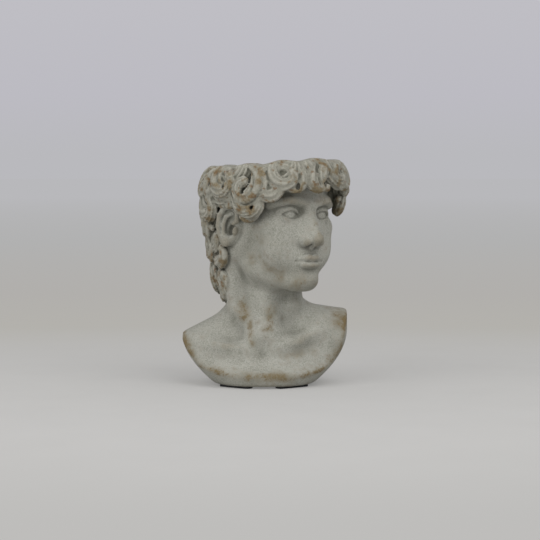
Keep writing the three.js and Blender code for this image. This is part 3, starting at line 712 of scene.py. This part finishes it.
def lay_side_curls(clay):
    """Curls at the temples, and curls that run forward below each ear. A heading above 0 is forward."""
    for side, temple_curls in zip(SIDES, (RIGHT_TEMPLE_CURLS, LEFT_TEMPLE_CURLS)):
        for degrees, height, heading, hand, length, half in temple_curls + NAPE_CURLS:
            lay_lock(
                clay, side * radians(degrees), height, -side * radians(heading), -side * hand, length, half,
                depth=-SIDE_CURL_LIFT, twist=SIDE_CURL_TWIST,
            )


def lay_hair(clay):
    lay_hair_cap(clay)
    for row, (height, count) in enumerate(UNDER_ROWS):
        lay_lock_row(clay, row + len(OUTER_ROWS), height, count, UNDER_ROW_DEPTH)
    for row, (height, count) in enumerate(OUTER_ROWS):
        for middle, out in lay_lock_row(clay, row, height, count, 0):
            drill(clay, middle, out)
    lay_side_curls(clay)


# Rim, pocket and drain

def cut_crown(clay):
    """The rim rises towards the face and is lowest behind the right ear."""
    def above(points):
        q = HEAD.inward(points)
        from_face = np.arctan2(q[..., 0], q[..., 1])
        rim = RIM_HEIGHT + RIM_FRONT_RISE * np.exp(-(from_face / RIM_FRONT_WIDTH) ** 2)
        dip = RIM_DIP * (0.5 - 0.5 * np.cos(RIM_DIPS * from_face))
        side = 0.5 + 0.5 * np.cos(from_face - radians(RIM_SIDE_AT))
        drop = RIM_SIDE_DROP * side ** RIM_SIDE_SHARPNESS
        return (rim - dip - drop - points[..., 2]).astype(np.float32)

    clay.carve(Shape(above, (-FAR, -FAR, HEAD_AT[2]), (FAR, FAR, RIM_HEIGHT + FAR)), RIM_SOFTNESS)


def carve_pocket(clay):
    """The planting pocket, an oval that narrows to a rounded floor."""
    def inside(points):
        q = HEAD.inward(points) * HEAD_UNIT
        height = points[..., 2] - POCKET_FLOOR_HEIGHT
        rise = np.clip(height / POCKET_DEPTH, 0, 1)
        halves = [POCKET_FLOOR[i] + (POCKET_MOUTH[i] - POCKET_FLOOR[i]) * rise for i in (0, 1)]
        round_wall = np.sqrt((q[..., 0] / halves[0]) ** 2 + ((q[..., 1] - POCKET_FORWARD) / halves[1]) ** 2)
        wall = (round_wall - 1) * halves[0]
        return (-soft_min(-wall, height, POCKET_ROUNDING)).astype(np.float32)

    middle = np.array((*HEAD_AT[:2], POCKET_FLOOR_HEIGHT + POCKET_DEPTH / 2))
    clay.carve(Shape(inside, middle - FAR / 2, middle + FAR / 2), RIM_SOFTNESS)


def carve_drain(clay):
    bottom = (*DRAIN_AT, -DRAIN_BORE)
    top = (*DRAIN_AT, POCKET_FLOOR_HEIGHT + DRAIN_BORE)
    clay.carve(tube(BODY, [bottom, top], [DRAIN_BORE / 2, DRAIN_BORE / 2]), DRAIN_BLEND)


def cut_base(clay):
    def below(points):
        return points[..., 2]

    clay.carve(Shape(below, (-FAR, -FAR, -FAR), (FAR, FAR, BASE_ROUNDING)), BASE_ROUNDING)


# Mesh of the clay

def cell_corners(cells, axis, first, second):
    """The two ends of one of the four cell edges that run along an axis."""
    others = [i for i in range(3) if i != axis]
    start = cells.copy()
    start[:, others[0]] += first
    start[:, others[1]] += second
    end = start.copy()
    end[:, axis] += 1
    return start, end


def net_vertices(field, cells):
    """In each cell that the surface crosses, the mean of the crossings on its edges."""
    total = np.zeros((len(cells), 3))
    count = np.zeros(len(cells))
    for axis, first, second in np.ndindex(3, 2, 2):
        start, end = cell_corners(cells, axis, first, second)
        a, b = field[tuple(start.T)], field[tuple(end.T)]
        crossed = (a < 0) != (b < 0)
        share = np.where(crossed, a / np.where(crossed, a - b, 1), 0)
        where = start.astype(float)
        where[:, axis] += share
        total[crossed] += where[crossed]
        count += crossed
    return total / count[:, None]


def net_faces(inside, index, axis):
    """A quad for each grid edge along an axis that the surface crosses, facing out."""
    first, second = (axis + 1) % 3, (axis + 2) % 3
    low, high = [slice(None)] * 3, [slice(None)] * 3
    low[axis], high[axis] = slice(None, -1), slice(1, None)
    edges = np.argwhere(inside[tuple(low)] != inside[tuple(high)])
    limits = np.array(index.shape)
    kept = (edges[:, first] > 0) & (edges[:, second] > 0)
    kept &= (edges[:, first] < limits[first]) & (edges[:, second] < limits[second])
    edges = edges[kept]
    ring = []
    for step_first, step_second in ((-1, -1), (0, -1), (0, 0), (-1, 0)):
        cell = edges.copy()
        cell[:, first] += step_first
        cell[:, second] += step_second
        ring.append(index[tuple(cell.T)])
    ring = np.stack(ring, 1)
    inward = ~inside[tuple(edges.T)]
    ring[inward] = ring[inward][:, ::-1]
    return ring


def clay_surface(clay):
    """The clay's surface as vertices, in millimetres, and quads."""
    inside = clay.field < 0
    limits = np.array(clay.field.shape) - 1
    corners = np.zeros(limits, np.int8)
    for i, j, k in np.ndindex(2, 2, 2):
        corners += inside[i:i + limits[0], j:j + limits[1], k:k + limits[2]]
    mixed = (corners > 0) & (corners < 8)
    cells = np.argwhere(mixed)
    index = np.full(limits, -1, np.int32)
    index[mixed] = np.arange(len(cells))
    points = clay.low + clay.step * net_vertices(clay.field, cells)
    return points, np.concatenate([net_faces(inside, index, axis) for axis in range(3)])


def quad_edges(quads):
    return np.concatenate([quads[:, [i, (i + 1) % 4]] for i in range(4)])


def relaxed(points, quads):
    """The vertices eased towards their neighbours and back out, which takes the grid's steps away."""
    edges = quad_edges(quads)
    count = np.bincount(edges.ravel(), minlength=len(points))
    for _ in range(RELAX_ROUNDS):
        for pull in RELAX_PULLS:
            total = np.zeros_like(points)
            for i in range(3):
                total[:, i] += np.bincount(edges[:, 0], points[edges[:, 1], i], len(points))
                total[:, i] += np.bincount(edges[:, 1], points[edges[:, 0], i], len(points))
            points = points + pull * (total / count[:, None] - points)
    return points


def largest_part(points, quads):
    """The biggest connected part of a mesh, without crumbs or bubbles."""
    edges = quad_edges(quads)
    label = np.arange(len(points))
    while True:
        lowest = label.copy()
        np.minimum.at(lowest, edges[:, 0], label[edges[:, 1]])
        np.minimum.at(lowest, edges[:, 1], label[edges[:, 0]])
        lowest = lowest[lowest]
        if np.array_equal(lowest, label):
            break
        label = lowest
    kept = label == np.bincount(label).argmax()
    fresh = np.cumsum(kept) - 1
    return points[kept], fresh[quads[kept[quads[:, 0]]]]


def blurred(values, reach):
    """A grid averaged over a ball of about that many cells, by three box means along each axis."""
    for axis in range(3):
        for _ in range(3):
            pad = [(0, 0)] * 3
            pad[axis] = (reach + 1, reach)
            sums = np.cumsum(np.pad(values, pad, mode="edge"), axis=axis, dtype=np.float32)
            high, low = [slice(None)] * 3, [slice(None)] * 3
            high[axis], low[axis] = slice(2 * reach + 1, None), slice(None, -2 * reach - 1)
            values = (sums[tuple(high)] - sums[tuple(low)]) / (2 * reach + 1)
    return values


# Pieces

def mesh_object(name, mesh):
    piece = bpy.data.objects.new(name, mesh)
    bpy.context.scene.collection.objects.link(piece)
    return piece


def baked_mesh(piece):
    """The piece's mesh with its modifiers worked in."""
    graph = bpy.context.evaluated_depsgraph_get()
    mesh = bpy.data.meshes.new_from_object(piece.evaluated_get(graph))
    piece.modifiers.clear()
    return mesh


def smooth(mesh):
    mesh.polygons.foreach_set("use_smooth", [True] * len(mesh.polygons))


def thinned(mesh, triangles, limit):
    """A mesh of that many triangles, brought down to the limit."""
    piece = mesh_object("thinning", mesh)
    modifier = piece.modifiers.new("thin", "DECIMATE")
    modifier.ratio = min(limit / triangles, 1)
    result = baked_mesh(piece)
    bpy.data.objects.remove(piece)
    return result


def coordinates(mesh):
    flat = np.empty(3 * len(mesh.vertices), np.float32)
    mesh.vertices.foreach_get("co", flat)
    return flat.reshape(-1, 3).astype(float)


def set_attribute(mesh, name, values):
    attribute = mesh.attributes.new(name, "FLOAT", "POINT")
    attribute.data.foreach_set("value", np.asarray(values, np.float32))


def design_origin():
    """Where the bust's own origin lies in the frame: under the drain's place, at the casting's underside."""
    low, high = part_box("drain_plug")
    middle = (low + high) / 2
    return np.array((middle.x - DRAIN_AT[0] * MM, middle.y - DRAIN_AT[1] * MM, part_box("cast_bust")[0].z))


def shape_bust(clay):
    """All the strokes, in order. Returns the clay as it was before the bowl, the hair and the pocket."""
    lay_torso(clay)
    lay_throat(clay)
    earlier = {"uncut": clay.field.copy()}
    cut_bowl(clay)
    lay_skull(clay)
    lay_brows(clay)
    lay_nose(clay)
    lay_mouth(clay)
    for side in SIDES:
        lay_eye(clay, side)
        lay_ear(clay, side)
    earlier["skin"] = clay.field.copy()
    lay_hair(clay)
    cut_crown(clay)
    earlier["outside"] = clay.field.copy()
    carve_pocket(clay)
    carve_drain(clay)
    cut_base(clay)
    return earlier


def model_bust():
    origin = design_origin()
    low, high = (np.array(corner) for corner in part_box("cast_bust"))
    clay = Clay((low - origin) / MM - GRID_MARGIN, (high - origin) / MM + GRID_MARGIN, GRID_STEP)
    earlier = shape_bust(clay)
    points, quads = largest_part(*clay_surface(clay))
    points = relaxed(points, quads)
    mesh = bpy.data.meshes.new("cast_bust_skin")
    mesh.from_pydata((points * MM + origin).tolist(), [], quads.tolist())
    mesh = thinned(mesh, 2 * len(quads), TRIANGLE_LIMIT)
    mesh.vertices.foreach_set("co", np.clip(coordinates(mesh), low, high).ravel())
    smooth(mesh)
    mark_bust(mesh, clay, earlier, (coordinates(mesh) - origin) / MM)
    return mesh_object("bust", mesh)


def rubbed(points, from_torso):
    """How strongly ochre was rubbed on at points, which fades off the ridge and off the rubbed lines."""
    strength, spread = RIDGE_RUB
    from_ridge = np.maximum(np.abs(from_torso), np.abs(bowl_depth(points))) / spread
    rub = strength * np.exp(-from_ridge * from_ridge)
    for place, rubs in ((BODY, BODY_RUBS), (HEAD, HEAD_RUBS)):
        for strength, spread, *line in rubs:
            away = tube(place, line, [0] * len(line)).distance(points) / (spread * place.scale)
            rub = np.maximum(rub, strength * np.exp(-away * away))
    return rub


def mark_bust(mesh, clay, earlier, points):
    """Attributes for the paint: ridges and recesses at two sizes, hair, rubbed places and raw casting."""
    filled = np.clip(0.5 - clay.field / (2 * clay.step), 0, 1)
    for name, size in RIDGE_SIZES.items():
        reach = max(round(size / clay.step / 2), 1)
        set_attribute(mesh, name, 1 - 2 * clay.sample(blurred(filled, reach), points))
    set_attribute(mesh, "hair", np.clip(clay.sample(earlier["skin"], points) / HAIR_FADE, 0, 1))
    set_attribute(mesh, "rub", rubbed(points, clay.sample(earlier["uncut"], points)))
    start, full = RAW_DEPTHS
    depth = -clay.sample(earlier["outside"], points)
    set_attribute(mesh, "raw", np.clip((depth - start) / (full - start), 0, 1))


def rounded(profile):
    """A profile with its corners cut, over and over, between its two ends."""
    points = np.array(profile, float)
    for _ in range(CORNER_ROUNDS):
        before = (1 - CORNER_CUT) * points[:-1] + CORNER_CUT * points[1:]
        after = CORNER_CUT * points[:-1] + (1 - CORNER_CUT) * points[1:]
        inner = np.stack([before, after], 1).reshape(-1, 2)
        points = np.concatenate([points[:1], inner[1:-1], points[-1:]])
    return points


def turned_mesh(name, profile, axis, segments):
    """A profile of (radius, height), in metres, from pole to pole, turned about an upright axis."""
    count = len(profile) - 2
    verts = [(*axis, profile[0][1]), (*axis, profile[-1][1])]
    for radius, height in profile[1:-1]:
        for i in range(segments):
            turn = 2 * pi * i / segments
            verts.append((axis[0] + radius * cos(turn), axis[1] + radius * sin(turn), height))
    faces = []
    for i in range(segments):
        after = (i + 1) % segments
        faces.append((0, 2 + after, 2 + i))
        last = 2 + (count - 1) * segments
        faces.append((1, last + i, last + after))
        for ring in range(count - 1):
            low, high = 2 + ring * segments, 2 + (ring + 1) * segments
            faces.append((low + i, low + after, high + after, high + i))
    mesh = bpy.data.meshes.new(name)
    mesh.from_pydata(verts, [], faces)
    smooth(mesh)
    return mesh


def stopper_profile():
    """A tapered stem with sealing ribs, a flange that seats on the pocket's floor, and a waisted grip."""
    tip, root = STOPPER_STEM
    profile = [(0, -STOPPER_STEM_LENGTH), (tip - STOPPER_TIP_EDGE, -STOPPER_STEM_LENGTH)]
    pitch = STOPPER_STEM_LENGTH / (STOPPER_RIBS + 0.5)
    for i in range(STOPPER_RIBS):
        for share, depth in STOPPER_RIB_PROFILE:
            run = pitch * (i + share)
            radius = tip + (root - tip) * run / STOPPER_STEM_LENGTH - depth * STOPPER_RIB_DEPTH
            profile.append((radius, run - STOPPER_STEM_LENGTH))
    profile += [(root - STOPPER_RIB_DEPTH, STOPPER_SEAT - STOPPER_UNDERCUT), (root, STOPPER_SEAT)]
    profile += [(STOPPER_FLANGE - STOPPER_LIP, STOPPER_SEAT), (STOPPER_FLANGE, STOPPER_SEAT)]
    width, height = STOPPER_FLANGE_EDGE
    profile += [(STOPPER_FLANGE, STOPPER_FLANGE_TOP - height), (STOPPER_FLANGE - width, STOPPER_FLANGE_TOP)]
    grip_height = STOPPER_TOP - STOPPER_FLANGE_TOP
    for radius, height in STOPPER_GRIP_PROFILE:
        profile.append((radius * STOPPER_GRIP, STOPPER_FLANGE_TOP + height * grip_height))
    return rounded(profile)


def model_stopper():
    low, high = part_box("drain_plug")
    middle = (low + high) / 2
    profile = stopper_profile() * MM
    profile[:, 1] += high.z - STOPPER_TOP * MM
    return mesh_object("stopper", turned_mesh("stopper", profile, middle.xy, STOPPER_SEGMENTS))


class Value:
    """A shader socket that takes arithmetic: each operation adds a Math node."""

    def __init__(self, paint, socket):
        self.paint = paint
        self.socket = socket

    def math(self, operation, first, second):
        return self.paint.node("ShaderNodeMath", {"operation": operation}, {0: first, 1: second})

    def __add__(self, other):
        return self.math("ADD", self, other)

    def __radd__(self, other):
        return self.math("ADD", other, self)

    def __sub__(self, other):
        return self.math("SUBTRACT", self, other)

    def __rsub__(self, other):
        return self.math("SUBTRACT", other, self)

    def __mul__(self, other):
        return self.math("MULTIPLY", self, other)

    def __rmul__(self, other):
        return self.math("MULTIPLY", other, self)

    def between(self, low, high):
        """0 below low, 1 above high, and a smooth step between; it falls where low is above high."""
        sockets = {"Value": self, "From Min": low, "From Max": high}
        return self.paint.node("ShaderNodeMapRange", {"interpolation_type": "SMOOTHSTEP"}, sockets)


class Nodes:
    """A node tree and the one way that nodes are added to it."""

    def __init__(self, tree):
        self.tree = tree
        self.tree.nodes.clear()

    def node(self, kind, settings=None, sockets=None, out=0):
        made = self.tree.nodes.new(kind)
        for name, value in (settings or {}).items():
            if name == "stops":
                set_stops(made.color_ramp, value)
            else:
                setattr(made, name, value)
        for name, value in (sockets or {}).items():
            for single in value if isinstance(value, list) else [value]:
                if isinstance(single, Value):
                    self.tree.links.new(single.socket, made.inputs[name])
                else:
                    made.inputs[name].default_value = single
        return Value(self, made.outputs[out]) if made.outputs else made


def set_stops(ramp, stops):
    """A ramp's (place, colour) stops. A new ramp has two."""
    while len(ramp.elements) < len(stops):
        ramp.elements.new(0.5)
    for element, (place, colour) in zip(ramp.elements, stops):
        element.position = place
        element.color = colour


def pad_block(nodes, given):
    """One pad at the origin: a rounded oblong, raised and closed below."""
    outline = nodes.node(
        "GeometryNodeCurvePrimitiveQuadrilateral", {}, {"Width": given["Length"], "Height": given["Width"]})
    outline = nodes.node(
        "GeometryNodeFilletCurve", {"mode": "POLY"},
        {"Curve": outline, "Count": PAD_CORNER_STEPS, "Radius": given["Corner"]})
    sole = nodes.node("GeometryNodeFillCurve", {"mode": "NGONS"}, {"Curve": outline})
    top = nodes.node(
        "GeometryNodeExtrudeMesh", {"mode": "FACES"},
        {"Mesh": sole, "Offset Scale": given["Thickness"], "Individual": False})
    flipped = nodes.node("GeometryNodeFlipFaces", {}, {"Mesh": sole})
    pad = nodes.node("GeometryNodeJoinGeometry", {}, {"Geometry": [top, flipped]})
    return nodes.node("GeometryNodeMergeByDistance", {}, {"Geometry": pad, "Distance": PAD_WELD * MM})


def pad_tree():
    """Rounded pads on points, each turned by its point's own angle."""
    tree = bpy.data.node_groups.new("foot_pads", "GeometryNodeTree")
    tree.interface.new_socket("Points", in_out="INPUT", socket_type="NodeSocketGeometry")
    for name, kind in PAD_INPUTS.items():
        tree.interface.new_socket(name, in_out="INPUT", socket_type="NodeSocket" + kind)
    tree.interface.new_socket("Pads", in_out="OUTPUT", socket_type="NodeSocketGeometry")
    nodes = Nodes(tree)
    points = nodes.node("NodeGroupInput", out="Points")
    given = {name: Value(nodes, points.socket.node.outputs[name]) for name in PAD_INPUTS}
    pad = pad_block(nodes, given)
    angle = nodes.node(
        "GeometryNodeInputNamedAttribute", {"data_type": "FLOAT"}, {"Name": "angle"}, out="Attribute")
    turn = nodes.node("ShaderNodeCombineXYZ", {}, {"Z": angle})
    pads = nodes.node(
        "GeometryNodeInstanceOnPoints", {}, {"Points": points, "Instance": pad, "Rotation": turn})
    pads = nodes.node("GeometryNodeRealizeInstances", {}, {"Geometry": pads})
    pads = nodes.node("GeometryNodeSetMaterial", {}, {"Geometry": pads, "Material": given["Finish"]})
    nodes.node("NodeGroupOutput", {}, {"Pads": pads})
    return tree


def pad_facts(node):
    """A pad's middle on the ground, its angle, and its length, width and thickness, from its solid."""
    points = coordinates(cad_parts[node].data)
    middle = (points.min(0) + points.max(0)) / 2
    flat = points[:, :2] - middle[:2]
    across, along = np.linalg.eigh(flat.T @ flat)[1].T
    sizes = (np.ptp(flat @ along), np.ptp(flat @ across), np.ptp(points[:, 2]))
    return (*middle[:2], points[:, 2].min()), atan2(along[1], along[0]), sizes


def model_pads(finish):
    facts = [pad_facts(node) for node in PAD_NODES]
    mesh = bpy.data.meshes.new("foot_pad_points")
    mesh.from_pydata([middle for middle, _, _ in facts], [], [])
    set_attribute(mesh, "angle", [angle for _, angle, _ in facts])
    piece = mesh_object("foot_pad_points", mesh)
    length, width, thickness = facts[0][2]
    values = {"Length": length, "Width": width, "Thickness": thickness}
    values |= {"Corner": PAD_CORNER * MM, "Finish": finish}
    modifier = piece.modifiers.new("pads", "NODES")
    modifier.node_group = pad_tree()
    for item in modifier.node_group.interface.items_tree:
        if item.name in values:
            modifier[item.identifier] = values[item.name]
    bevel = piece.modifiers.new("soft_edges", "BEVEL")
    bevel.width = PAD_EDGE * MM
    bevel.segments = 2
    pads = mesh_object("foot_pads", baked_mesh(piece))
    bpy.data.objects.remove(piece)
    return pads


# Paint

class Paint(Nodes):
    """The nodes of a material or of the world."""

    def __init__(self, owner):
        owner.use_nodes = True
        super().__init__(owner.node_tree)

    def place(self):
        return self.node("ShaderNodeTexCoord", out="Object")

    def attribute(self, name):
        return self.node("ShaderNodeAttribute", {"attribute_name": name}, out="Fac")

    def noise(self, place, size, detail=3, roughness=0.55):
        """Cloudy noise between 0 and 1, in blots of about that many millimetres."""
        sockets = {"Vector": place, "Scale": 1 / (size * MM), "Detail": detail, "Roughness": roughness}
        return self.node("ShaderNodeTexNoise", {}, sockets)

    def cells(self, place, size):
        """The distance to the nearest of scattered points, about that many millimetres apart."""
        sockets = {"Vector": place, "Scale": 1 / (size * MM)}
        return self.node("ShaderNodeTexVoronoi", {}, sockets, out="Distance")

    def mix(self, mask, under, over):
        return self.node("ShaderNodeMix", {"data_type": "RGBA"}, {0: mask, 6: under, 7: over}, out=2)

    def bump(self, height, strength, depth):
        sockets = {"Height": height, "Strength": strength, "Distance": depth * MM}
        return self.node("ShaderNodeBump", {}, sockets)

    def surface(self, shader, kind="ShaderNodeOutputMaterial"):
        self.node(kind, {}, {"Surface": shader})


class CementPaint(Paint):
    """The casting's paint, laid layer over layer."""

    def __init__(self, material):
        super().__init__(material)
        self.spot = self.place()
        self.relief = self.attribute("relief")
        self.swell = self.attribute("swell")
        self.hair = self.attribute("hair")
        self.rub = self.attribute("rub")
        self.patches = self.noise(self.spot, PATCH_SIZE, 4, 0.6)
        self.blots = self.noise(self.spot, BLOT_SIZE, 4, 0.65)
        self.grain = self.noise(self.spot, GRAIN_SIZE, 3, 0.7)

    def wash(self):
        """Grey cement under a chalky wash, worn through to umber in places."""
        chalky = (self.patches * 0.8 + self.blots * 0.5 + self.grain * 1.3).between(0.9, 1.7)
        worn = (self.patches * 0.7 + self.blots * 0.8 + self.grain * 0.5).between(1.0, 1.3)
        return self.mix(worn * 0.6, self.mix(chalky, CEMENT, WASH), UMBER)

    def rubbed_skin(self, colour):
        """Ochre on the swelling forms, and more of it where it was rubbed on and has kept."""
        edge = (self.swell * 2.2 + self.blots + self.grain * 0.8).between(1.15, 1.85)
        kept = self.noise(self.spot, KEPT_SIZE, 3, 0.6).between(0.38, 0.62)
        patch = (self.rub * (0.3 + 0.55 * kept) + self.blots * 0.9 + self.grain * 1.9).between(1.5, 2.7)
        return self.mix((edge * 0.35 + patch * 0.9) * (1 - self.hair), colour, OCHRE)

    def coloured_hair(self, colour):
        """Darker cement with chalk on the tops, partly a painted highlight, spots of ochre and streaks of
        rust.
        """
        colour = self.mix(self.hair * 0.5, colour, HAIR_CEMENT)
        # Chalk on the tops of the locks, which also paints their highlight
        chalk_highlight_tops = (self.relief * 2.5 + self.blots * 0.6).between(0.35, 0.85)
        colour = self.mix(self.hair * chalk_highlight_tops * 0.6, colour, CHALK_AND_HIGHLIGHT)
        gilding = self.noise(self.spot, GILDING_SIZE, 4, 0.6) * 1.2 + self.swell * 0.35 + self.grain * 0.2
        colour = self.mix(self.hair * gilding.between(0.74, 0.96) * 0.85, colour, OCHRE)
        streaks = self.noise(self.spot, STREAK_SIZE, 3, 0.6) * 1.1 + self.grain * 0.2
        return self.mix(self.hair * streaks.between(0.72, 0.88) * 0.8, colour, RUST)

    def painted_hollow_shade(self, colour):
        """Painted shade in the recesses, and more of it between the locks."""
        recess_shade = (0 - self.relief * 1.4 - self.swell * 0.6).between(0.05, 0.4)
        return self.mix(recess_shade * (0.5 + 0.2 * self.hair), colour, PAINTED_SHADE_IN_RECESSES)

    def pits(self):
        """1 in small scattered pits, which the bump dents and which get painted shade."""
        dots = self.cells(self.spot, PIT_SPACING).between(0.24, 0.08)
        return dots * (self.grain + self.blots).between(0.85, 1.1)

    def bare_casting(self, colour):
        """The pocket and the drain were never painted."""
        bare = self.mix((self.grain + self.blots).between(0.6, 1.4), RAW_DARK, RAW_LIGHT)
        return self.mix(self.attribute("raw"), colour, bare)


def cement_finish():
    material = bpy.data.materials.new("washed_cement")
    paint = CementPaint(material)
    pits = paint.pits()
    colour = paint.coloured_hair(paint.rubbed_skin(paint.wash()))
    # Painted shade in the pinholes, over the painted shade of the recesses
    colour = paint.mix(pits * 0.75, paint.painted_hollow_shade(colour), PINHOLE_SHADE)
    colour = paint.bare_casting(colour)
    bumps = paint.bump(paint.grain * 0.6 + paint.blots * 0.5 - pits * 1.2, 0.5, CEMENT_BUMPS)
    sockets = {"Base Color": colour, "Roughness": 0.86 + 0.1 * paint.grain, "Normal": bumps}
    paint.surface(paint.node("ShaderNodeBsdfPrincipled", {}, sockets))
    return material


def rubber_finish():
    material = bpy.data.materials.new("stopper_rubber")
    paint = Paint(material)
    place = paint.place()
    bloom = paint.noise(place, BLOOM_SIZE, 3)
    grain = paint.noise(place, RUBBER_GRAIN_SIZE, 2)
    colour = paint.mix(bloom.between(0.4, 0.75) * 0.5, RUBBER, RUBBER_BLOOM)
    bumps = paint.bump(grain, 0.2, RUBBER_BUMPS)
    sockets = {"Base Color": colour, "Roughness": 0.5 + 0.2 * bloom, "Normal": bumps}
    paint.surface(paint.node("ShaderNodeBsdfPrincipled", {}, sockets))
    return material


def foam_finish():
    material = bpy.data.materials.new("pad_foam")
    paint = Paint(material)
    place = paint.place()
    bubbles = paint.cells(place, BUBBLE_SPACING)
    dust = paint.noise(place, DUST_SIZE, 3).between(0.5, 0.8)
    colour = paint.mix(dust * 0.5, FOAM, FOAM_DUST)
    bumps = paint.bump(bubbles, 0.5, FOAM_BUMPS)
    sockets = {"Base Color": colour, "Roughness": 0.85 + 0.1 * dust, "Normal": bumps}
    paint.surface(paint.node("ShaderNodeBsdfPrincipled", {}, sockets))
    return material


# Stage, light and camera

def seen_directly(paint):
    """1 where the camera, or a mirror-like surface, looks straight at it."""
    path = paint.node("ShaderNodeLightPath", out="Is Camera Ray")
    return path + Value(paint, path.socket.node.outputs["Is Glossy Ray"])


def floor_finish():
    """Lit paper near the object, for its shadow, that runs out into the even backdrop."""
    material = bpy.data.materials.new("floor_paper")
    paint = Paint(material)
    place = paint.place()
    away = paint.node("ShaderNodeVectorMath", {"operation": "LENGTH"}, {0: place}, out="Value")
    depth = paint.node("ShaderNodeSeparateXYZ", {}, {0: place}, out="Y")
    distant = away.between(*FLOOR_ROUND)
    along = depth * (1 - distant) + away * distant
    mottle = paint.noise(place, MOTTLE_SIZE, 2)
    colour = paint.mix(mottle, FLOOR_DARK, FLOOR_LIGHT)
    lit = paint.node("ShaderNodeBsdfDiffuse", {}, {"Color": colour})
    share = (along - FLOOR_FRONT) * (1 / FLOOR_RUN)
    ramp = paint.node("ShaderNodeValToRGB", {"stops": FLOOR_STOPS}, {"Fac": share})
    plain = paint.node("ShaderNodeEmission", {}, {"Color": ramp})
    faded = SHADOW_FADE + (1 - SHADOW_FADE) * away.between(*FLOOR_LIT)
    paint.surface(paint.node("ShaderNodeMixShader", {}, {0: faded * seen_directly(paint), 1: lit, 2: plain}))
    return material


def lay_floor():
    mesh = bpy.data.meshes.new("floor")
    half = FLOOR_SIZE / 2
    corners = [(-half, -half, 0), (half, -half, 0), (half, half, 0), (-half, half, 0)]
    mesh.from_pydata(corners, [], [(0, 1, 2, 3)])
    mesh.materials.append(floor_finish())
    floor = mesh_object("floor", mesh)


def hang_backdrop():
    """The world: soft even light, and the backdrop's own colours where it is looked at."""
    world = bpy.data.worlds.new("studio")
    paint = Paint(world)
    direction = paint.node("ShaderNodeTexCoord", out="Generated")
    height = paint.node("ShaderNodeSeparateXYZ", {}, {0: direction}, out="Z")
    ramp = paint.node("ShaderNodeValToRGB", {"stops": BACKDROP_STOPS}, {"Fac": height})
    light = paint.node("ShaderNodeBackground", {}, {"Color": ROOM_LIGHT, "Strength": ROOM_STRENGTH})
    plain = paint.node("ShaderNodeBackground", {}, {"Color": ramp})
    seen = paint.node("ShaderNodeMixShader", {}, {0: seen_directly(paint), 1: light, 2: plain})
    paint.surface(seen, "ShaderNodeOutputWorld")
    bpy.context.scene.world = world


def area_light(name, place, size, power):
    light = bpy.data.lights.new(name, "AREA")
    light.energy = power
    light.size = size
    lamp = bpy.data.objects.new(name, light)
    lamp.location = place
    lamp.rotation_euler = (Vector(AIM_AT) - Vector(place)).to_track_quat("-Z", "Y").to_euler()
    bpy.context.scene.collection.objects.link(lamp)


def set_camera():
    data = bpy.data.cameras.new("camera")
    data.sensor_width = SENSOR_WIDTH
    data.lens = SENSOR_WIDTH * CAMERA_DISTANCE / FRAME_WIDTH
    camera = bpy.data.objects.new("camera", data)
    aim = Vector(AIM_AT)
    camera.location = (aim.x, -CAMERA_DISTANCE, CAMERA_HEIGHT)
    camera.rotation_euler = (aim - camera.location).to_track_quat("-Z", "Y").to_euler()
    bpy.context.scene.collection.objects.link(camera)
    bpy.context.scene.camera = camera


def dress(piece, material, body, slot, *nodes):
    piece.data.materials.clear()
    piece.data.materials.append(material)
    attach(piece, body)
    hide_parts(*nodes)


dress(model_bust(), cement_finish(), "bust", "cement", "cast_bust")
dress(model_stopper(), rubber_finish(), "plug", "rubber", "drain_plug")
foam = foam_finish()
dress(model_pads(foam), foam, "bust", "foam", *PAD_NODES)

lay_floor()
hang_backdrop()
for lamp in LAMPS:
    area_light(*lamp)
set_camera()
bpy.context.scene.view_settings.view_transform = "Standard"
